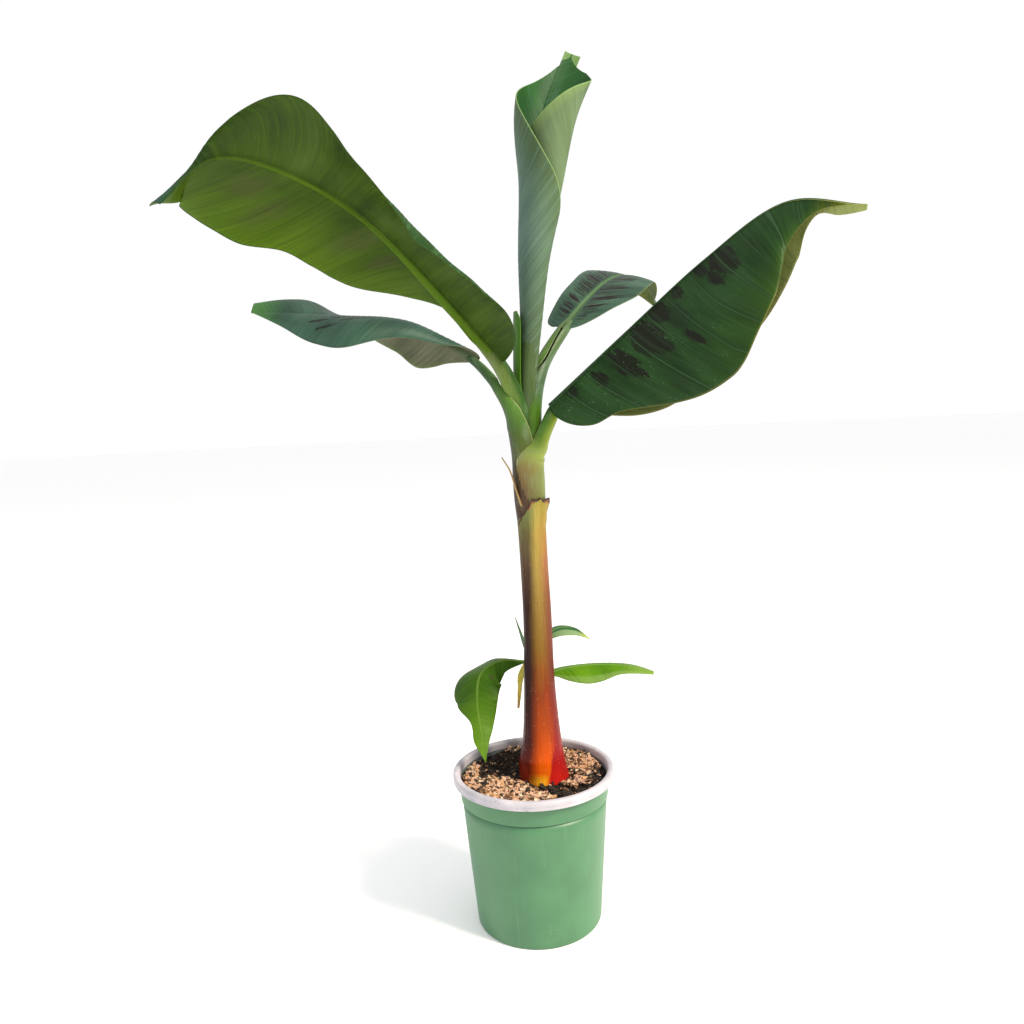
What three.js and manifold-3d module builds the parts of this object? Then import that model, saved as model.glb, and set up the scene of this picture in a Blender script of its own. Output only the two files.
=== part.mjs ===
// A young banana plant in a small nursery pot: a leaning false stem of wrapped leaf sheaths, four open
// leaves, one new leaf still rolled, and a sucker behind. Millimetres, +Z up, seen from -Y.
// The origin is at the centre of the pot's flat underside.

import * as THREE from "three";
import { mergeVertices } from "three/addons/utils/BufferGeometryUtils.js";
import Module from "manifold-3d";

const wasm = await Module();
wasm.setup();

// The pot
const POT_HEIGHT = 115;
const FOOT_RADIUS = 47;
const NECK_RADIUS = 55.5;
const WALL = 1.2;
const FLOOR = 1.6;
const FOOT_CURVE = 2;
const LIP_RADIUS = 60;
const LIP_HEIGHT = 7;
const LIP_CURVE = 2.6;
const STEP_BELOW_LIP = 13;
const STEP_DEPTH = 0.7;
const DRAIN_HOLES = 6;
const DRAIN_RADIUS = 4;
const DRAIN_RING = 31;
const ROUND_SIDES = 36;

// The soil, and the gap left between pieces that touch
const SOIL_LEVEL = 104;
const SOIL_EDGE_DROP = 1.5;
const GAP = 0.3;
const SLIVER = 0.05;
const GROUND = SOIL_LEVEL + GAP;

// The false stem: the line of its centre, and its radius at even stages from the soil to the fork
const STEM_LINE = [[8, 9, 96], [7.6, 8.5, 165], [8.1, 6.5, 235], [6.6, 4, 304], [6.4, 0, 373]];
const STEM_RADII = [20, 15, 12.2, 11, 10.5, 10.2, 10.4, 11.4, 11.4];

// Each leaf stalk tapers from the fork to the foot of its blade
const STALKS = {
  stalk_right: { line: [[9, -7, 341], [15, -6.5, 352], [20.5, -4.5, 364], [23, -2.6, 379.6]], radii: [6.8, 5.6, 4.8, 3.2] },
  stalk_left_high: { line: [[5, -1, 352], [1, -3, 373], [-4.5, -7, 394], [-12, -15.6, 410.6]], radii: [7.2, 6.9, 6.4, 5] },
  stalk_back: { line: [[10, 3, 366], [13.4, 5, 388], [20.5, 11.5, 411], [36.7, 27.6, 436.6]], radii: [6.6, 5.4, 4.4, 4] },
  stalk_left_low: { line: [[0, 2, 350], [-8, 3, 374], [-14.6, 4, 394.5], [-24.6, 4, 414]], radii: [6.2, 5, 4.2, 3.4] },
};

// Each blade has a midrib line and, for the half on each side of it, the half's width, the angle at which it
// leaves the midrib (degrees, up is positive) and how far it curls on its way out, at even stages to the tip.
// Left and right are as seen from the foot of the blade, with its upper face up.
const BLADES = {
  leaf_right: {
    rib: [[22, -2, 381], [73, -40, 425.5], [116, -78, 462], [153, -112, 484.5], [187, -142, 474]],
    left: {
      width: [12, 29, 47, 57, 60, 62, 60, 55, 49, 42, 35, 27, 9, 7, 3],
      fold: [-60, -65, -60, -60, -70],
      curl: [-20, -30, -30, -20, -10],
    },
    right: {
      width: [17, 33, 42, 56, 69, 79, 84, 82, 70, 60, 48, 29, 9, 2, 0],
      fold: [-80, -66, -60, -60, -70],
      curl: [-10, -20, -20, -20, -20],
    },
    thickness: 2.6,
  },
  leaf_left_high: {
    rib: [[-12, -16, 411], [-48, -62, 453], [-82, -108, 487], [-115, -150, 502], [-143, -176, 502], [-166, -187, 479]],
    left: {
      width: [12, 31, 46, 47, 45, 51, 57, 55, 53, 58, 57, 35, 6, 1, 0],
      fold: [26, 25, 19, 14, 23, 28, 22, 1],
      curl: [-60, -70, -80, -55, -25, -60],
    },
    right: {
      width: [3, 1, 3, 19, 34, 39, 40, 42, 53, 59, 66, 71, 67, 47, 20],
      fold: [30, 6, -22, -38, -22, -4, 10, 22],
      curl: [-10, -20, -20, -20, -20, -20],
    },
    thickness: 2.8,
  },
  leaf_left_low: {
    rib: [[-25, 4, 414.6], [-48, 4, 427], [-76, 3, 439], [-113, 2, 448], [-148, 0, 452], [-182, -2, 454]],
    left: {
      width: [4, 14, 25, 37, 48, 36, 17, 0],
      fold: [50, 50, 40, 5, -20, -30],
      curl: [-20, -120, -120, -80, -50, -20],
    },
    right: { width: [3, 12, 24, 20, 22, 28, 20, 12], fold: [-40, -70, -50, 0, 40, 50], curl: [-30, -30, -30, -20, -20] },
    thickness: 1.8,
  },
  leaf_back: {
    rib: [[37, 28, 437], [57, 50, 459], [76, 72, 476], [94, 92, 483], [113, 110, 475], [128, 122, 456]],
    left: { width: [17, 20, 22, 25, 26, 22, 10, 0], fold: [20, 35, 32, 24, 10, 0], curl: [-20, -20, -20, -30, -30] },
    right: { width: [6, 22, 34, 34, 31, 28, 14, 0], fold: [-20, -8, -8, -10, -30, -40], curl: [-20, -20, -20, -30, -30] },
    thickness: 1.6,
  },
};
const BLADE_ROWS = 18;
const HALF_COLUMNS = 5;
const MIDRIB_SHARE = 1.3;
const NARROWEST = 0.5;

// The new leaf: its midrib is at the back of the roll, and each half winds round towards the front
const ROLL = {
  rib: [[8, 4, 392], [12.6, 8, 438], [16.8, 12, 484], [22.8, 16, 531], [31.8, 22, 580], [48.5, 24, 625]],
  radii: [3, 7.4, 11.3, 16, 22.8, 26.5],
  left: { width: [22, 40, 52, 60, 65, 62, 51, 22, 0], tightness: 0.98 },
  right: { width: [22, 40, 52, 62, 70, 76, 72, 40, 0], tightness: 0.82 },
  thickness: 2.4,
  rows: 18,
  columns: 10,
  mostTurn: 5.4,
};
const ROLL_CORE = { line: [[6.6, 0, 372.3], [7.6, 0.2, 392], [11.6, 0.4, 430], [16.4, 0, 478]], radii: [4, 3.6, 6.4, 10] };

// Small dry and torn pieces on the stem
const TORN_SHEATH = { low: 292, high: 313, start: -2.35, end: 0.4, thickness: 1, flare: 2.2, ragged: 3, teeth: 5 };
const DRY_STRIP = {
  rib: [[0.6, -4.2, 307.5], [-3.2, -5.2, 321], [-7, -5, 335], [-12.4, -3.4, 345]],
  left: { width: [1.4, 1.5, 1.1, 0], fold: [0, 0], curl: [0, 0] },
  right: { width: [1.4, 1.5, 1.1, 0], fold: [0, 0], curl: [0, 0] },
  thickness: 0.7,
};
const SHEATH_WING = {
  rib: [[3.4, 5.4, 384], [2.6, 6, 404], [2.6, 6.4, 422], [5.4, 7, 438]],
  left: { width: [4, 3.6, 3, 0], fold: [10, 10], curl: [20, 20] },
  right: { width: [4, 3.6, 3, 0], fold: [10, 10], curl: [20, 20] },
  thickness: 1,
};

// The sucker behind the stem
const SUCKER_STEM = { line: [[11, 37, 96], [9, 35, 140], [3, 32, 190]], radii: [8, 6, 3.6] };
const SUCKER_SPEAR = { line: [[1, 32, 190.6], [-3, 31, 200], [-8.5, 30, 221]], radii: [1.8, 1.4, 0.6] };
const SUCKER_BLADES = {
  sucker_leaf_left: {
    rib: [[0, 31.5, 186], [-19, 27, 187.5], [-35, 23.5, 180], [-39, 13, 161], [-36.4, 3, 141], [-35, -6, 122]],
    left: { width: [1.6, 7, 12, 16, 17, 12, 6, 0], fold: [-20, -40, -30, -10, 0, 10], curl: [0, -20, -30, -20, 0] },
    right: { width: [1.6, 7, 22, 30, 22, 10, 5, 0], fold: [-10, -20, -20, -10, 0, 10], curl: [0, -20, -30, -20, 0] },
    thickness: 1.3,
  },
  sucker_leaf_right: {
    rib: [[6, 33, 171], [26, 35, 177], [50, 36, 179], [74, 35, 177.5], [97, 32, 172]],
    left: { width: [3, 6, 10, 12, 12, 12, 10, 3], fold: [10, 0, 0, 0], curl: [0, -20, -20, 0] },
    right: { width: [2, 4, 13, 17, 15, 9, 6, 3], fold: [-10, -20, -30, -20], curl: [-20, -30, -20, 0] },
    thickness: 1,
  },
  sucker_leaf_small: {
    rib: [[5, 33, 184], [12, 34, 201], [24, 36, 209.5], [38, 38, 208], [49, 39, 199]],
    left: { width: [1.6, 2, 6, 6, 4, 0], fold: [10, 0], curl: [0, -20] },
    right: { width: [1.6, 2.4, 8, 9, 6, 0], fold: [-10, -30], curl: [-10, -30] },
    thickness: 0.9,
  },
  sucker_leaf_dry: {
    rib: [[-2.4, 27.4, 185.2], [-5.5, 24, 176], [-7, 23, 164], [-9, 22, 152]],
    left: { width: [1.6, 3.4, 3, 1.4], fold: [10, 10], curl: [20, 20] },
    right: { width: [1.6, 3.4, 3, 1.4], fold: [10, 10], curl: [20, 20] },
    thickness: 1.2,
  },
};

const SUCKER_FINENESS = { rows: 10, columns: 2 };

const COLOURS = {
  pot_wall: 0x6fbf86, pot_rim: 0x9aa0a8, potting_soil: 0x4a3626, false_stem: 0xa05a30, torn_sheath: 0x6a4428,
  dry_strip: 0xb89a6a, sheath_wing: 0x6a9a2a, stalk: 0x86a84a, leaf: 0x3f6a34, rolled_leaf: 0x739a78, sucker: 0x4a8a28,
};

// A number that runs smoothly through evenly spaced values, with t from 0 to 1
function through(values, t) {
  const last = values.length - 1;
  const i = Math.min(Math.floor(t * last), last - 1);
  const f = t * last - i;
  const b = values[i];
  const c = values[i + 1];
  const a = i > 0 ? values[i - 1] : 2 * b - c;
  const d = i < last - 1 ? values[i + 2] : 2 * c - b;
  return b + 0.5 * f * (c - a + f * (2 * a - 5 * b + 4 * c - d + f * (3 * (b - c) + d - a)));
}

function lineThrough(points) {
  return new THREE.CatmullRomCurve3(points.map((p) => new THREE.Vector3(...p)), false, "catmullrom", 0.5);
}

// The directions at a place along a line: ahead, square to it towards `up`, and to the left of both
function directions(line, t, up) {
  const ahead = line.getTangent(t);
  const above = up.clone().addScaledVector(ahead, -up.dot(ahead)).normalize();
  return { ahead, above, left: above.clone().cross(ahead) };
}

function solidFrom(geometry) {
  geometry.deleteAttribute("normal");
  geometry.deleteAttribute("uv");
  const merged = mergeVertices(geometry, 1e-4);
  return new wasm.Manifold(new wasm.Mesh({
    numProp: 3,
    vertProperties: new Float32Array(merged.attributes.position.array),
    triVerts: new Uint32Array(merged.index.array),
  }));
}

function geometryFrom(solid) {
  const { numProp, vertProperties, triVerts } = solid.getMesh();
  const places = new Float32Array((vertProperties.length / numProp) * 3);
  for (let i = 0; i < places.length / 3; i++) {
    for (let k = 0; k < 3; k++) places[3 * i + k] = vertProperties[numProp * i + k];
  }
  const geometry = new THREE.BufferGeometry();
  geometry.setAttribute("position", new THREE.BufferAttribute(places, 3));
  geometry.setIndex(new THREE.BufferAttribute(new Uint32Array(triVerts), 1));
  return geometry;
}

// A closed solid from rings of an even number of points, each ring joined to the next. Each end is closed
// by cross strips from one side of its ring to the other, which suits a bent thin ring as well as a round one.
function loft(rings) {
  const sides = rings[0].length;
  const places = rings.flat();
  const faces = [];
  for (let i = 0; i + 1 < rings.length; i++) {
    for (let j = 0; j < sides; j++) {
      const a = i * sides + j;
      const b = i * sides + ((j + 1) % sides);
      faces.push(a, b, b + sides, a, b + sides, a + sides);
    }
  }
  const top = (rings.length - 1) * sides;
  for (let j = 0; j + 1 < sides / 2; j++) {
    const k = sides - 2 - j;
    faces.push(j, k, j + 1, j, k + 1, k);
    faces.push(top + j, top + j + 1, top + k, top + j, top + k, top + k + 1);
  }
  const geometry = new THREE.BufferGeometry().setFromPoints(places);
  geometry.setIndex(faces);
  return solidFrom(geometry);
}

// A tapering limb of round section along a line of points, made fatter all over by `grow`
function limb({ line, radii }, { sides = 12, steps = 10, grow = 0 } = {}) {
  const curve = lineThrough(line);
  const up = new THREE.Vector3(0, 1, 0);
  const rings = [];
  for (let i = 0; i <= steps; i++) {
    const t = i / steps;
    const { ahead, above, left } = directions(curve, t, up);
    const centre = curve.getPoint(t);
    if (i === 0) centre.addScaledVector(ahead, -grow);
    if (i === steps) centre.addScaledVector(ahead, grow);
    const radius = through(radii, t) + grow;
    rings.push(Array.from({ length: sides }, (_, j) => {
      const turn = (2 * Math.PI * j) / sides;
      return centre.clone().addScaledVector(left, radius * Math.cos(turn)).addScaledVector(above, radius * Math.sin(turn));
    }));
  }
  return loft(rings);
}

// A closed skin of even thickness over a grid of points
function sheet(grid, thickness) {
  const rings = grid.map((row, i) => {
    const before = grid[Math.max(i - 1, 0)];
    const after = grid[Math.min(i + 1, grid.length - 1)];
    const upper = [];
    const lower = [];
    row.forEach((place, j) => {
      const across = row[Math.min(j + 1, row.length - 1)].clone().sub(row[Math.max(j - 1, 0)]);
      const along = after[j].clone().sub(before[j]);
      const normal = across.cross(along).normalize().multiplyScalar(thickness / 2);
      upper.push(place.clone().add(normal));
      lower.unshift(place.clone().sub(normal));
    });
    return [...upper, ...lower];
  });
  return loft(rings);
}

// The points of one blade: each row is an arc from one margin to the other, across the midrib
function bladeGrid(blade, rows, columns) {
  const rib = lineThrough(blade.rib);
  const up = new THREE.Vector3(0, 0, 1);
  return Array.from({ length: rows + 1 }, (_, i) => {
    const t = i / rows;
    const { above, left } = directions(rib, t, up);
    const foot = rib.getPoint(t);
    const half = ({ width, fold, curl }, side) => {
      const step = Math.max(through(width, t), NARROWEST) / columns;
      const place = foot.clone();
      return Array.from({ length: columns }, (_, k) => {
        const angle = THREE.MathUtils.degToRad(through(fold, t) + through(curl, t) * ((k + 0.5) / columns));
        place.addScaledVector(left, side * step * Math.cos(angle)).addScaledVector(above, step * Math.sin(angle));
        return place.clone();
      });
    };
    return [...half(blade.left, 1).reverse(), foot, ...half(blade.right, -1)];
  });
}

// A blade is its thin sheet with the thicker midrib run into it
function blade(spec, { rows = BLADE_ROWS, columns = HALF_COLUMNS } = {}) {
  const rib = spec.thickness * MIDRIB_SHARE * 0.5;
  const midrib = limb({ line: spec.rib, radii: [rib * 1.3, rib * 1.15, rib, rib * 0.9] }, { sides: 6, steps: rows });
  return sheet(bladeGrid(spec, rows, columns), spec.thickness).add(midrib);
}

// The same blade, bigger all round by the gap that its neighbours keep
function fatter(spec) {
  const wider = (half) => ({ ...half, width: half.width.map((w) => w + GAP) });
  return { ...spec, left: wider(spec.left), right: wider(spec.right), thickness: spec.thickness + 2 * GAP };
}

// One half of the rolled leaf, wound round the roll's centre from just past the midrib to its margin
function rollHalf(half, side) {
  const rib = lineThrough(ROLL.rib);
  const up = new THREE.Vector3(0, -1, 0);
  const overlap = 0.25;
  const grid = Array.from({ length: ROLL.rows + 1 }, (_, i) => {
    const t = i / ROLL.rows;
    const { above, left } = directions(rib, t, up);
    const radius = through(ROLL.radii, t) * half.tightness;
    const turn = Math.min(Math.max(through(half.width, t), NARROWEST) / radius, ROLL.mostTurn);
    const foot = rib.getPoint(t);
    return Array.from({ length: ROLL.columns + 1 }, (_, k) => {
      const angle = -overlap + ((turn + overlap) * k) / ROLL.columns;
      return foot.clone()
        .addScaledVector(left, side * radius * Math.sin(angle))
        .addScaledVector(above, radius * (1 - Math.cos(angle)));
    });
  });
  if (side > 0) grid.forEach((row) => row.reverse());
  return sheet(grid, ROLL.thickness);
}

// The pot's wall and floor are one moulding, with a shallow step round it and drain holes in the floor
function potWall() {
  const top = POT_HEIGHT - LIP_HEIGHT;
  const step = top - STEP_BELOW_LIP;
  const slope = (NECK_RADIUS - FOOT_RADIUS) / top;
  const outer = (z) => FOOT_RADIUS + slope * z - (z < step ? STEP_DEPTH : 0);
  const outline = new THREE.Path();
  outline.moveTo(0, 0);
  outline.lineTo(outer(0) - FOOT_CURVE, 0);
  outline.quadraticCurveTo(outer(0), 0, outer(FOOT_CURVE), FOOT_CURVE);
  outline.lineTo(outer(step - 0.01), step);
  outline.lineTo(outer(step) - 0.1, step + STEP_DEPTH);
  outline.lineTo(NECK_RADIUS, top);
  outline.lineTo(NECK_RADIUS - WALL, top);
  outline.lineTo(outer(FLOOR) - WALL, FLOOR);
  outline.lineTo(0, FLOOR);
  outline.lineTo(0, 0);
  const wall = solidFrom(new THREE.LatheGeometry(outline.getPoints(3), ROUND_SIDES).rotateX(Math.PI / 2));
  return Array.from({ length: DRAIN_HOLES }, (_, i) => {
    const turn = (2 * Math.PI * i) / DRAIN_HOLES;
    const hole = new THREE.CylinderGeometry(DRAIN_RADIUS, DRAIN_RADIUS, 3 * FLOOR, 12).rotateX(Math.PI / 2);
    return solidFrom(hole.translate(DRAIN_RING * Math.cos(turn), DRAIN_RING * Math.sin(turn), FLOOR / 2));
  }).reduce((pot, hole) => pot.subtract(hole), wall);
}

// The pale lip is rolled over the top of the wall
function potRim() {
  const low = POT_HEIGHT - LIP_HEIGHT + GAP;
  const inner = NECK_RADIUS - WALL;
  const ring = new THREE.Path();
  ring.moveTo(inner, low);
  ring.lineTo(LIP_RADIUS - 0.6, low);
  ring.lineTo(LIP_RADIUS, POT_HEIGHT - LIP_CURVE);
  ring.quadraticCurveTo(LIP_RADIUS, POT_HEIGHT, LIP_RADIUS - LIP_CURVE, POT_HEIGHT);
  ring.quadraticCurveTo(inner + 0.4, POT_HEIGHT, inner + 0.2, POT_HEIGHT - LIP_CURVE);
  ring.lineTo(inner, low);
  return solidFrom(new THREE.LatheGeometry(ring.getPoints(4), ROUND_SIDES).rotateX(Math.PI / 2));
}

function pottingSoil() {
  const top = POT_HEIGHT - LIP_HEIGHT;
  const slope = (NECK_RADIUS - FOOT_RADIUS) / top;
  const clear = WALL + GAP + STEP_DEPTH;
  const low = FLOOR + GAP;
  const edge = SOIL_LEVEL - SOIL_EDGE_DROP;
  const outline = [
    [0, low], [FOOT_RADIUS + slope * low - clear, low], [FOOT_RADIUS + slope * edge - clear, edge],
    [FOOT_RADIUS, SOIL_LEVEL], [0, SOIL_LEVEL], [0, low],
  ].map(([r, z]) => new THREE.Vector2(r, z));
  return solidFrom(new THREE.LatheGeometry(outline, ROUND_SIDES).rotateX(Math.PI / 2));
}

// The torn top of an old sheath stands a little proud of the stem, round its front and right
function tornSheath(grow = 0) {
  const { low, high, start, end, thickness, flare, ragged, teeth } = TORN_SHEATH;
  const stem = lineThrough(STEM_LINE);
  const rows = 5;
  const columns = 16;
  const grid = Array.from({ length: rows + 1 }, (_, i) => Array.from({ length: columns + 1 }, (_, j) => {
    const share = j / columns;
    const turn = start + (end - start) * share;
    const rim = high - ragged * (0.5 + 0.5 * Math.cos(2 * Math.PI * teeth * share)) - 5 * (1 - share) ** 3;
    const z = low - grow + ((rim - low + 2 * grow) * i) / rows;
    const t = (z - STEM_LINE[0][2]) / (STEM_LINE[4][2] - STEM_LINE[0][2]);
    const centre = stem.getPoint(t);
    const radius = through(STEM_RADII, t) + GAP + 0.2 + thickness / 2 + flare * (i / rows) ** 2;
    return new THREE.Vector3(centre.x + radius * Math.cos(turn), centre.y + radius * Math.sin(turn), z);
  }));
  return sheet(grid, thickness + 2 * grow);
}

// Everything above the soil, cut flat at the ground
function aboveGround(solid) {
  const size = 400;
  return solid.intersect(solidFrom(new THREE.BoxGeometry(size, size, size).translate(0, 0, GROUND + size / 2)));
}

const plant = new THREE.Group();

// Slivers and loose crumbs that a cut leaves behind are dropped
function place(name, solid, colour, roughness = 0.5) {
  const [body] = solid.simplify(SLIVER).decompose().sort((a, b) => b.volume() - a.volume());
  const material = new THREE.MeshStandardMaterial({ color: colour, roughness, metalness: 0 });
  const mesh = new THREE.Mesh(geometryFrom(body), material);
  mesh.name = name;
  plant.add(mesh);
}

place("pot_wall", potWall(), COLOURS.pot_wall);
place("pot_rim", potRim(), COLOURS.pot_rim);
place("potting_soil", pottingSoil(), COLOURS.potting_soil, 0.95);

const STEM = { line: STEM_LINE, radii: STEM_RADII };
const STEM_FINENESS = { sides: 18, steps: 18 };
place("false_stem", aboveGround(limb(STEM, STEM_FINENESS)), COLOURS.false_stem);

// Each piece at the fork is cut clear of those already there
let taken = limb(STEM, { ...STEM_FINENESS, grow: GAP });
const core = limb(ROLL_CORE).subtract(taken);
const coreRoom = limb(ROLL_CORE, { grow: GAP });

for (const [name, stalk] of Object.entries(STALKS)) {
  place(name, limb(stalk).subtract(taken).subtract(coreRoom), COLOURS.stalk);
  taken = taken.add(limb(stalk, { grow: GAP }));
}
place("rolled_leaf", rollHalf(ROLL.left, 1).add(rollHalf(ROLL.right, -1)).subtract(taken).add(core), COLOURS.rolled_leaf);
taken = taken.add(coreRoom);
for (const [name, spec] of Object.entries(BLADES)) {
  place(name, blade(spec).subtract(taken), COLOURS.leaf, 0.4);
}

place("sheath_wing", blade(SHEATH_WING, { rows: 5, columns: 2 }).subtract(taken), COLOURS.sheath_wing);
place("torn_sheath", tornSheath(), COLOURS.torn_sheath, 0.9);
const dryStrip = blade(DRY_STRIP, { rows: 6, columns: 1 });
place("dry_strip", dryStrip.subtract(taken).subtract(tornSheath(GAP)), COLOURS.dry_strip, 0.9);

place("sucker_stem", aboveGround(limb(SUCKER_STEM)), COLOURS.sucker);
let takenBehind = limb(SUCKER_STEM, { grow: GAP }).add(limb(STEM, { ...STEM_FINENESS, grow: GAP }));
place("sucker_spear", limb(SUCKER_SPEAR, { sides: 6, steps: 6 }).subtract(takenBehind), COLOURS.sucker);
takenBehind = takenBehind.add(limb(SUCKER_SPEAR, { sides: 6, steps: 6, grow: GAP }));
for (const [name, spec] of Object.entries(SUCKER_BLADES)) {
  place(name, blade(spec, SUCKER_FINENESS).subtract(takenBehind), COLOURS.sucker);
  takenBehind = takenBehind.add(blade(fatter(spec), SUCKER_FINENESS));
}

export default plant;
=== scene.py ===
# A young banana plant in its nursery pot, dressed for its picture. Sizes are millimetres, turned to metres
# where a mesh is made. Seen from the front, +X is to the right and -Y is towards the viewer.

import math
import random

import bpy
import numpy as np
from mathutils import Matrix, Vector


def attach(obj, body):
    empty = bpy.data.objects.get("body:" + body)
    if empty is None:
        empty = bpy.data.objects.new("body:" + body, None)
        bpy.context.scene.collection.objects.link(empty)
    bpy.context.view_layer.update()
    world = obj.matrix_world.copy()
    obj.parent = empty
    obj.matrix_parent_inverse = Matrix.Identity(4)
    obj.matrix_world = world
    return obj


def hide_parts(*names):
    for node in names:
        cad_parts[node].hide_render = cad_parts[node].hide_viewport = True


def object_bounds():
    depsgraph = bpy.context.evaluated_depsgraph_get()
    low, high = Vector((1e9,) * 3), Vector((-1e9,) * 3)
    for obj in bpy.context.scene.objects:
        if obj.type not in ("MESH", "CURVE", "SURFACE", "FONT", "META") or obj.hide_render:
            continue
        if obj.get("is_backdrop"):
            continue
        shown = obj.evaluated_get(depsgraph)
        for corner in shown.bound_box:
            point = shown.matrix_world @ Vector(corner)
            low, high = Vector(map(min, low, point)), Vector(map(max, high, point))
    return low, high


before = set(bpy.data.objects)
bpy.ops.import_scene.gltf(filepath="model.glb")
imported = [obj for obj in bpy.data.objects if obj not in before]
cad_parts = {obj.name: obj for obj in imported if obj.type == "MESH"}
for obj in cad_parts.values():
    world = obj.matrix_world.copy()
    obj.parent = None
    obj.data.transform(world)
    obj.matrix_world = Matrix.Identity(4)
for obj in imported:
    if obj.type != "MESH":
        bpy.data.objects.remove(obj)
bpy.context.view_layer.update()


# Camera, lights and floor
# The camera looks slightly down from the height of the leaf stalks, 0.6 m in front. One large soft light
# stands high on the right, a weak cool one low on the left, and a pale sky fills the rest.
MM = 0.001
EYE = (-7, -586, 368)
PITCH = math.radians(6.1)
LEAN = math.radians(2.7)
LENS = 28.83
SENSOR_WIDTH = 36
FLOOR_REACH = 30000
FLOOR_SIDES = 64
PAPER_CLOUD = 6667


def set_in_scene(thing, columns):
    """Puts the camera or a light in the scene, by its three axes and its place in metres."""
    thing.matrix_world = Matrix([[float(c[k]) for c in columns] for k in range(3)] + [[0, 0, 0, 1]])
    bpy.context.scene.collection.objects.link(thing)


forward = np.array([0, math.cos(PITCH), -math.sin(PITCH)])
upward = np.array([0, math.sin(PITCH), math.cos(PITCH)])
sideways = np.array([1.0, 0, 0])
camera = bpy.data.objects.new("camera", bpy.data.cameras.new("camera"))
camera.data.lens = LENS
camera.data.sensor_width = SENSOR_WIDTH
set_in_scene(camera, [
    sideways * math.cos(LEAN) - upward * math.sin(LEAN),
    sideways * math.sin(LEAN) + upward * math.cos(LEAN),
    -forward,
    np.array(EYE) * MM,
])
bpy.context.scene.camera = camera
bpy.context.scene.view_settings.view_transform = "Standard"


def colour(code):
    """An sRGB hex colour as the linear colour that the shaders take."""
    parts = [int(code[i:i + 2], 16) / 255 for i in (1, 3, 5)]
    return (*(c / 12.92 if c <= 0.04045 else ((c + 0.055) / 1.055) ** 2.4 for c in parts), 1.0)


def add(tree, kind, inputs=None, stops=None, **settings):
    """Adds one node with its settings. Each input takes a value or another node's output."""
    node = tree.nodes.new("ShaderNode" + kind)
    for name, value in settings.items():
        setattr(node, name, value)
    for name, value in (inputs or {}).items():
        if isinstance(value, bpy.types.NodeSocket):
            tree.links.new(value, node.inputs[name])
        else:
            node.inputs[name].default_value = value
    for i, (place, code) in enumerate(stops or []):
        elements = node.color_ramp.elements
        stop = elements[i] if i < 2 else elements.new(place)
        stop.position = place
        stop.color = colour(code)
    return node


def new_material(name, roughness, **values):
    """A material with its shader, whose uniform values are set on the shader itself."""
    material = bpy.data.materials.new(name)
    material.use_nodes = True
    shader = material.node_tree.nodes["Principled BSDF"]
    shader.inputs["Roughness"].default_value = roughness
    for socket, value in values.items():
        shader.inputs[socket.replace("_", " ")].default_value = value
    return material, material.node_tree, shader


def soft_light(name, place, aim, width, power, code):
    """A large square light that points at `aim`. Its place, aim and width are in metres."""
    light = bpy.data.objects.new(name, bpy.data.lights.new(name, "AREA"))
    light.data.size = width
    light.data.energy = power
    light.data.color = colour(code)[:3]
    back = np.array(place, float) - np.array(aim, float)
    back /= np.linalg.norm(back)
    across = np.cross([0, 0, 1], back)
    across /= np.linalg.norm(across)
    set_in_scene(light, [across, np.cross(back, across), back, np.array(place, float)])


soft_light("key_light", (1.35, -0.85, 1.6), (0, 0, 0.32), 0.5, 72, "#fff4e2")
soft_light("fill_light", (-1.6, -0.9, 0.8), (0, 0, 0.35), 1.4, 5, "#e4ecff")

world = bpy.data.worlds.new("pale_sky")
bpy.context.scene.world = world
world.use_nodes = True
world.node_tree.nodes["Background"].inputs["Color"].default_value = colour("#fcfcfd")
world.node_tree.nodes["Background"].inputs["Strength"].default_value = 1.04

# Matt white paper throws an even light back up at the plant, and its cloudiness is too faint to notice
paper, tree, shader = new_material("studio_paper", 0.9)
grain = add(tree, "TexNoise", {"Scale": 2 * FLOOR_REACH / PAPER_CLOUD, "Detail": 3.0})
tone = add(tree, "ValToRGB", {"Fac": grain.outputs["Fac"]}, [(0.3, "#f9f9f8"), (0.7, "#fbfbfa")])
tree.links.new(tone.outputs["Color"], shader.inputs["Base Color"])

reach = FLOOR_REACH * MM
turns = [2 * math.pi * i / FLOOR_SIDES for i in range(FLOOR_SIDES)]
floor_edge = [(reach * math.cos(a), reach * math.sin(a), 0) for a in turns]
floor_mesh = bpy.data.meshes.new("studio_floor")
floor_mesh.from_pydata(floor_edge, [], [range(FLOOR_SIDES)])
floor_mesh.materials.append(paper)
studio_floor = bpy.data.objects.new("studio_floor", floor_mesh)
bpy.context.scene.collection.objects.link(studio_floor)
studio_floor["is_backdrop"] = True


# Pot wall
# A thin green nursery pot, injection moulded in polypropylene in one piece: a slightly conical wall with a
# shallow step under the lip, a floor with drain holes, and a satin skin that has picked up dust and scuffs.
POT_HEIGHT = 115
FOOT_RADIUS = 47
NECK_RADIUS = 55.5
POT_WALL = 1.2
POT_FLOOR = 1.6
LIP_HEIGHT = 7
STEP_BELOW_LIP = 13
STEP_DEPTH = 0.7
STEP_GROOVE = 0.45
INSIDE_SHOWS_TO = 94
DRAIN_HOLES = 6
DRAIN_RADIUS = 4
DRAIN_RING = 31
DRAIN_SIDES = 32
POT_SIDES = 180


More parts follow.
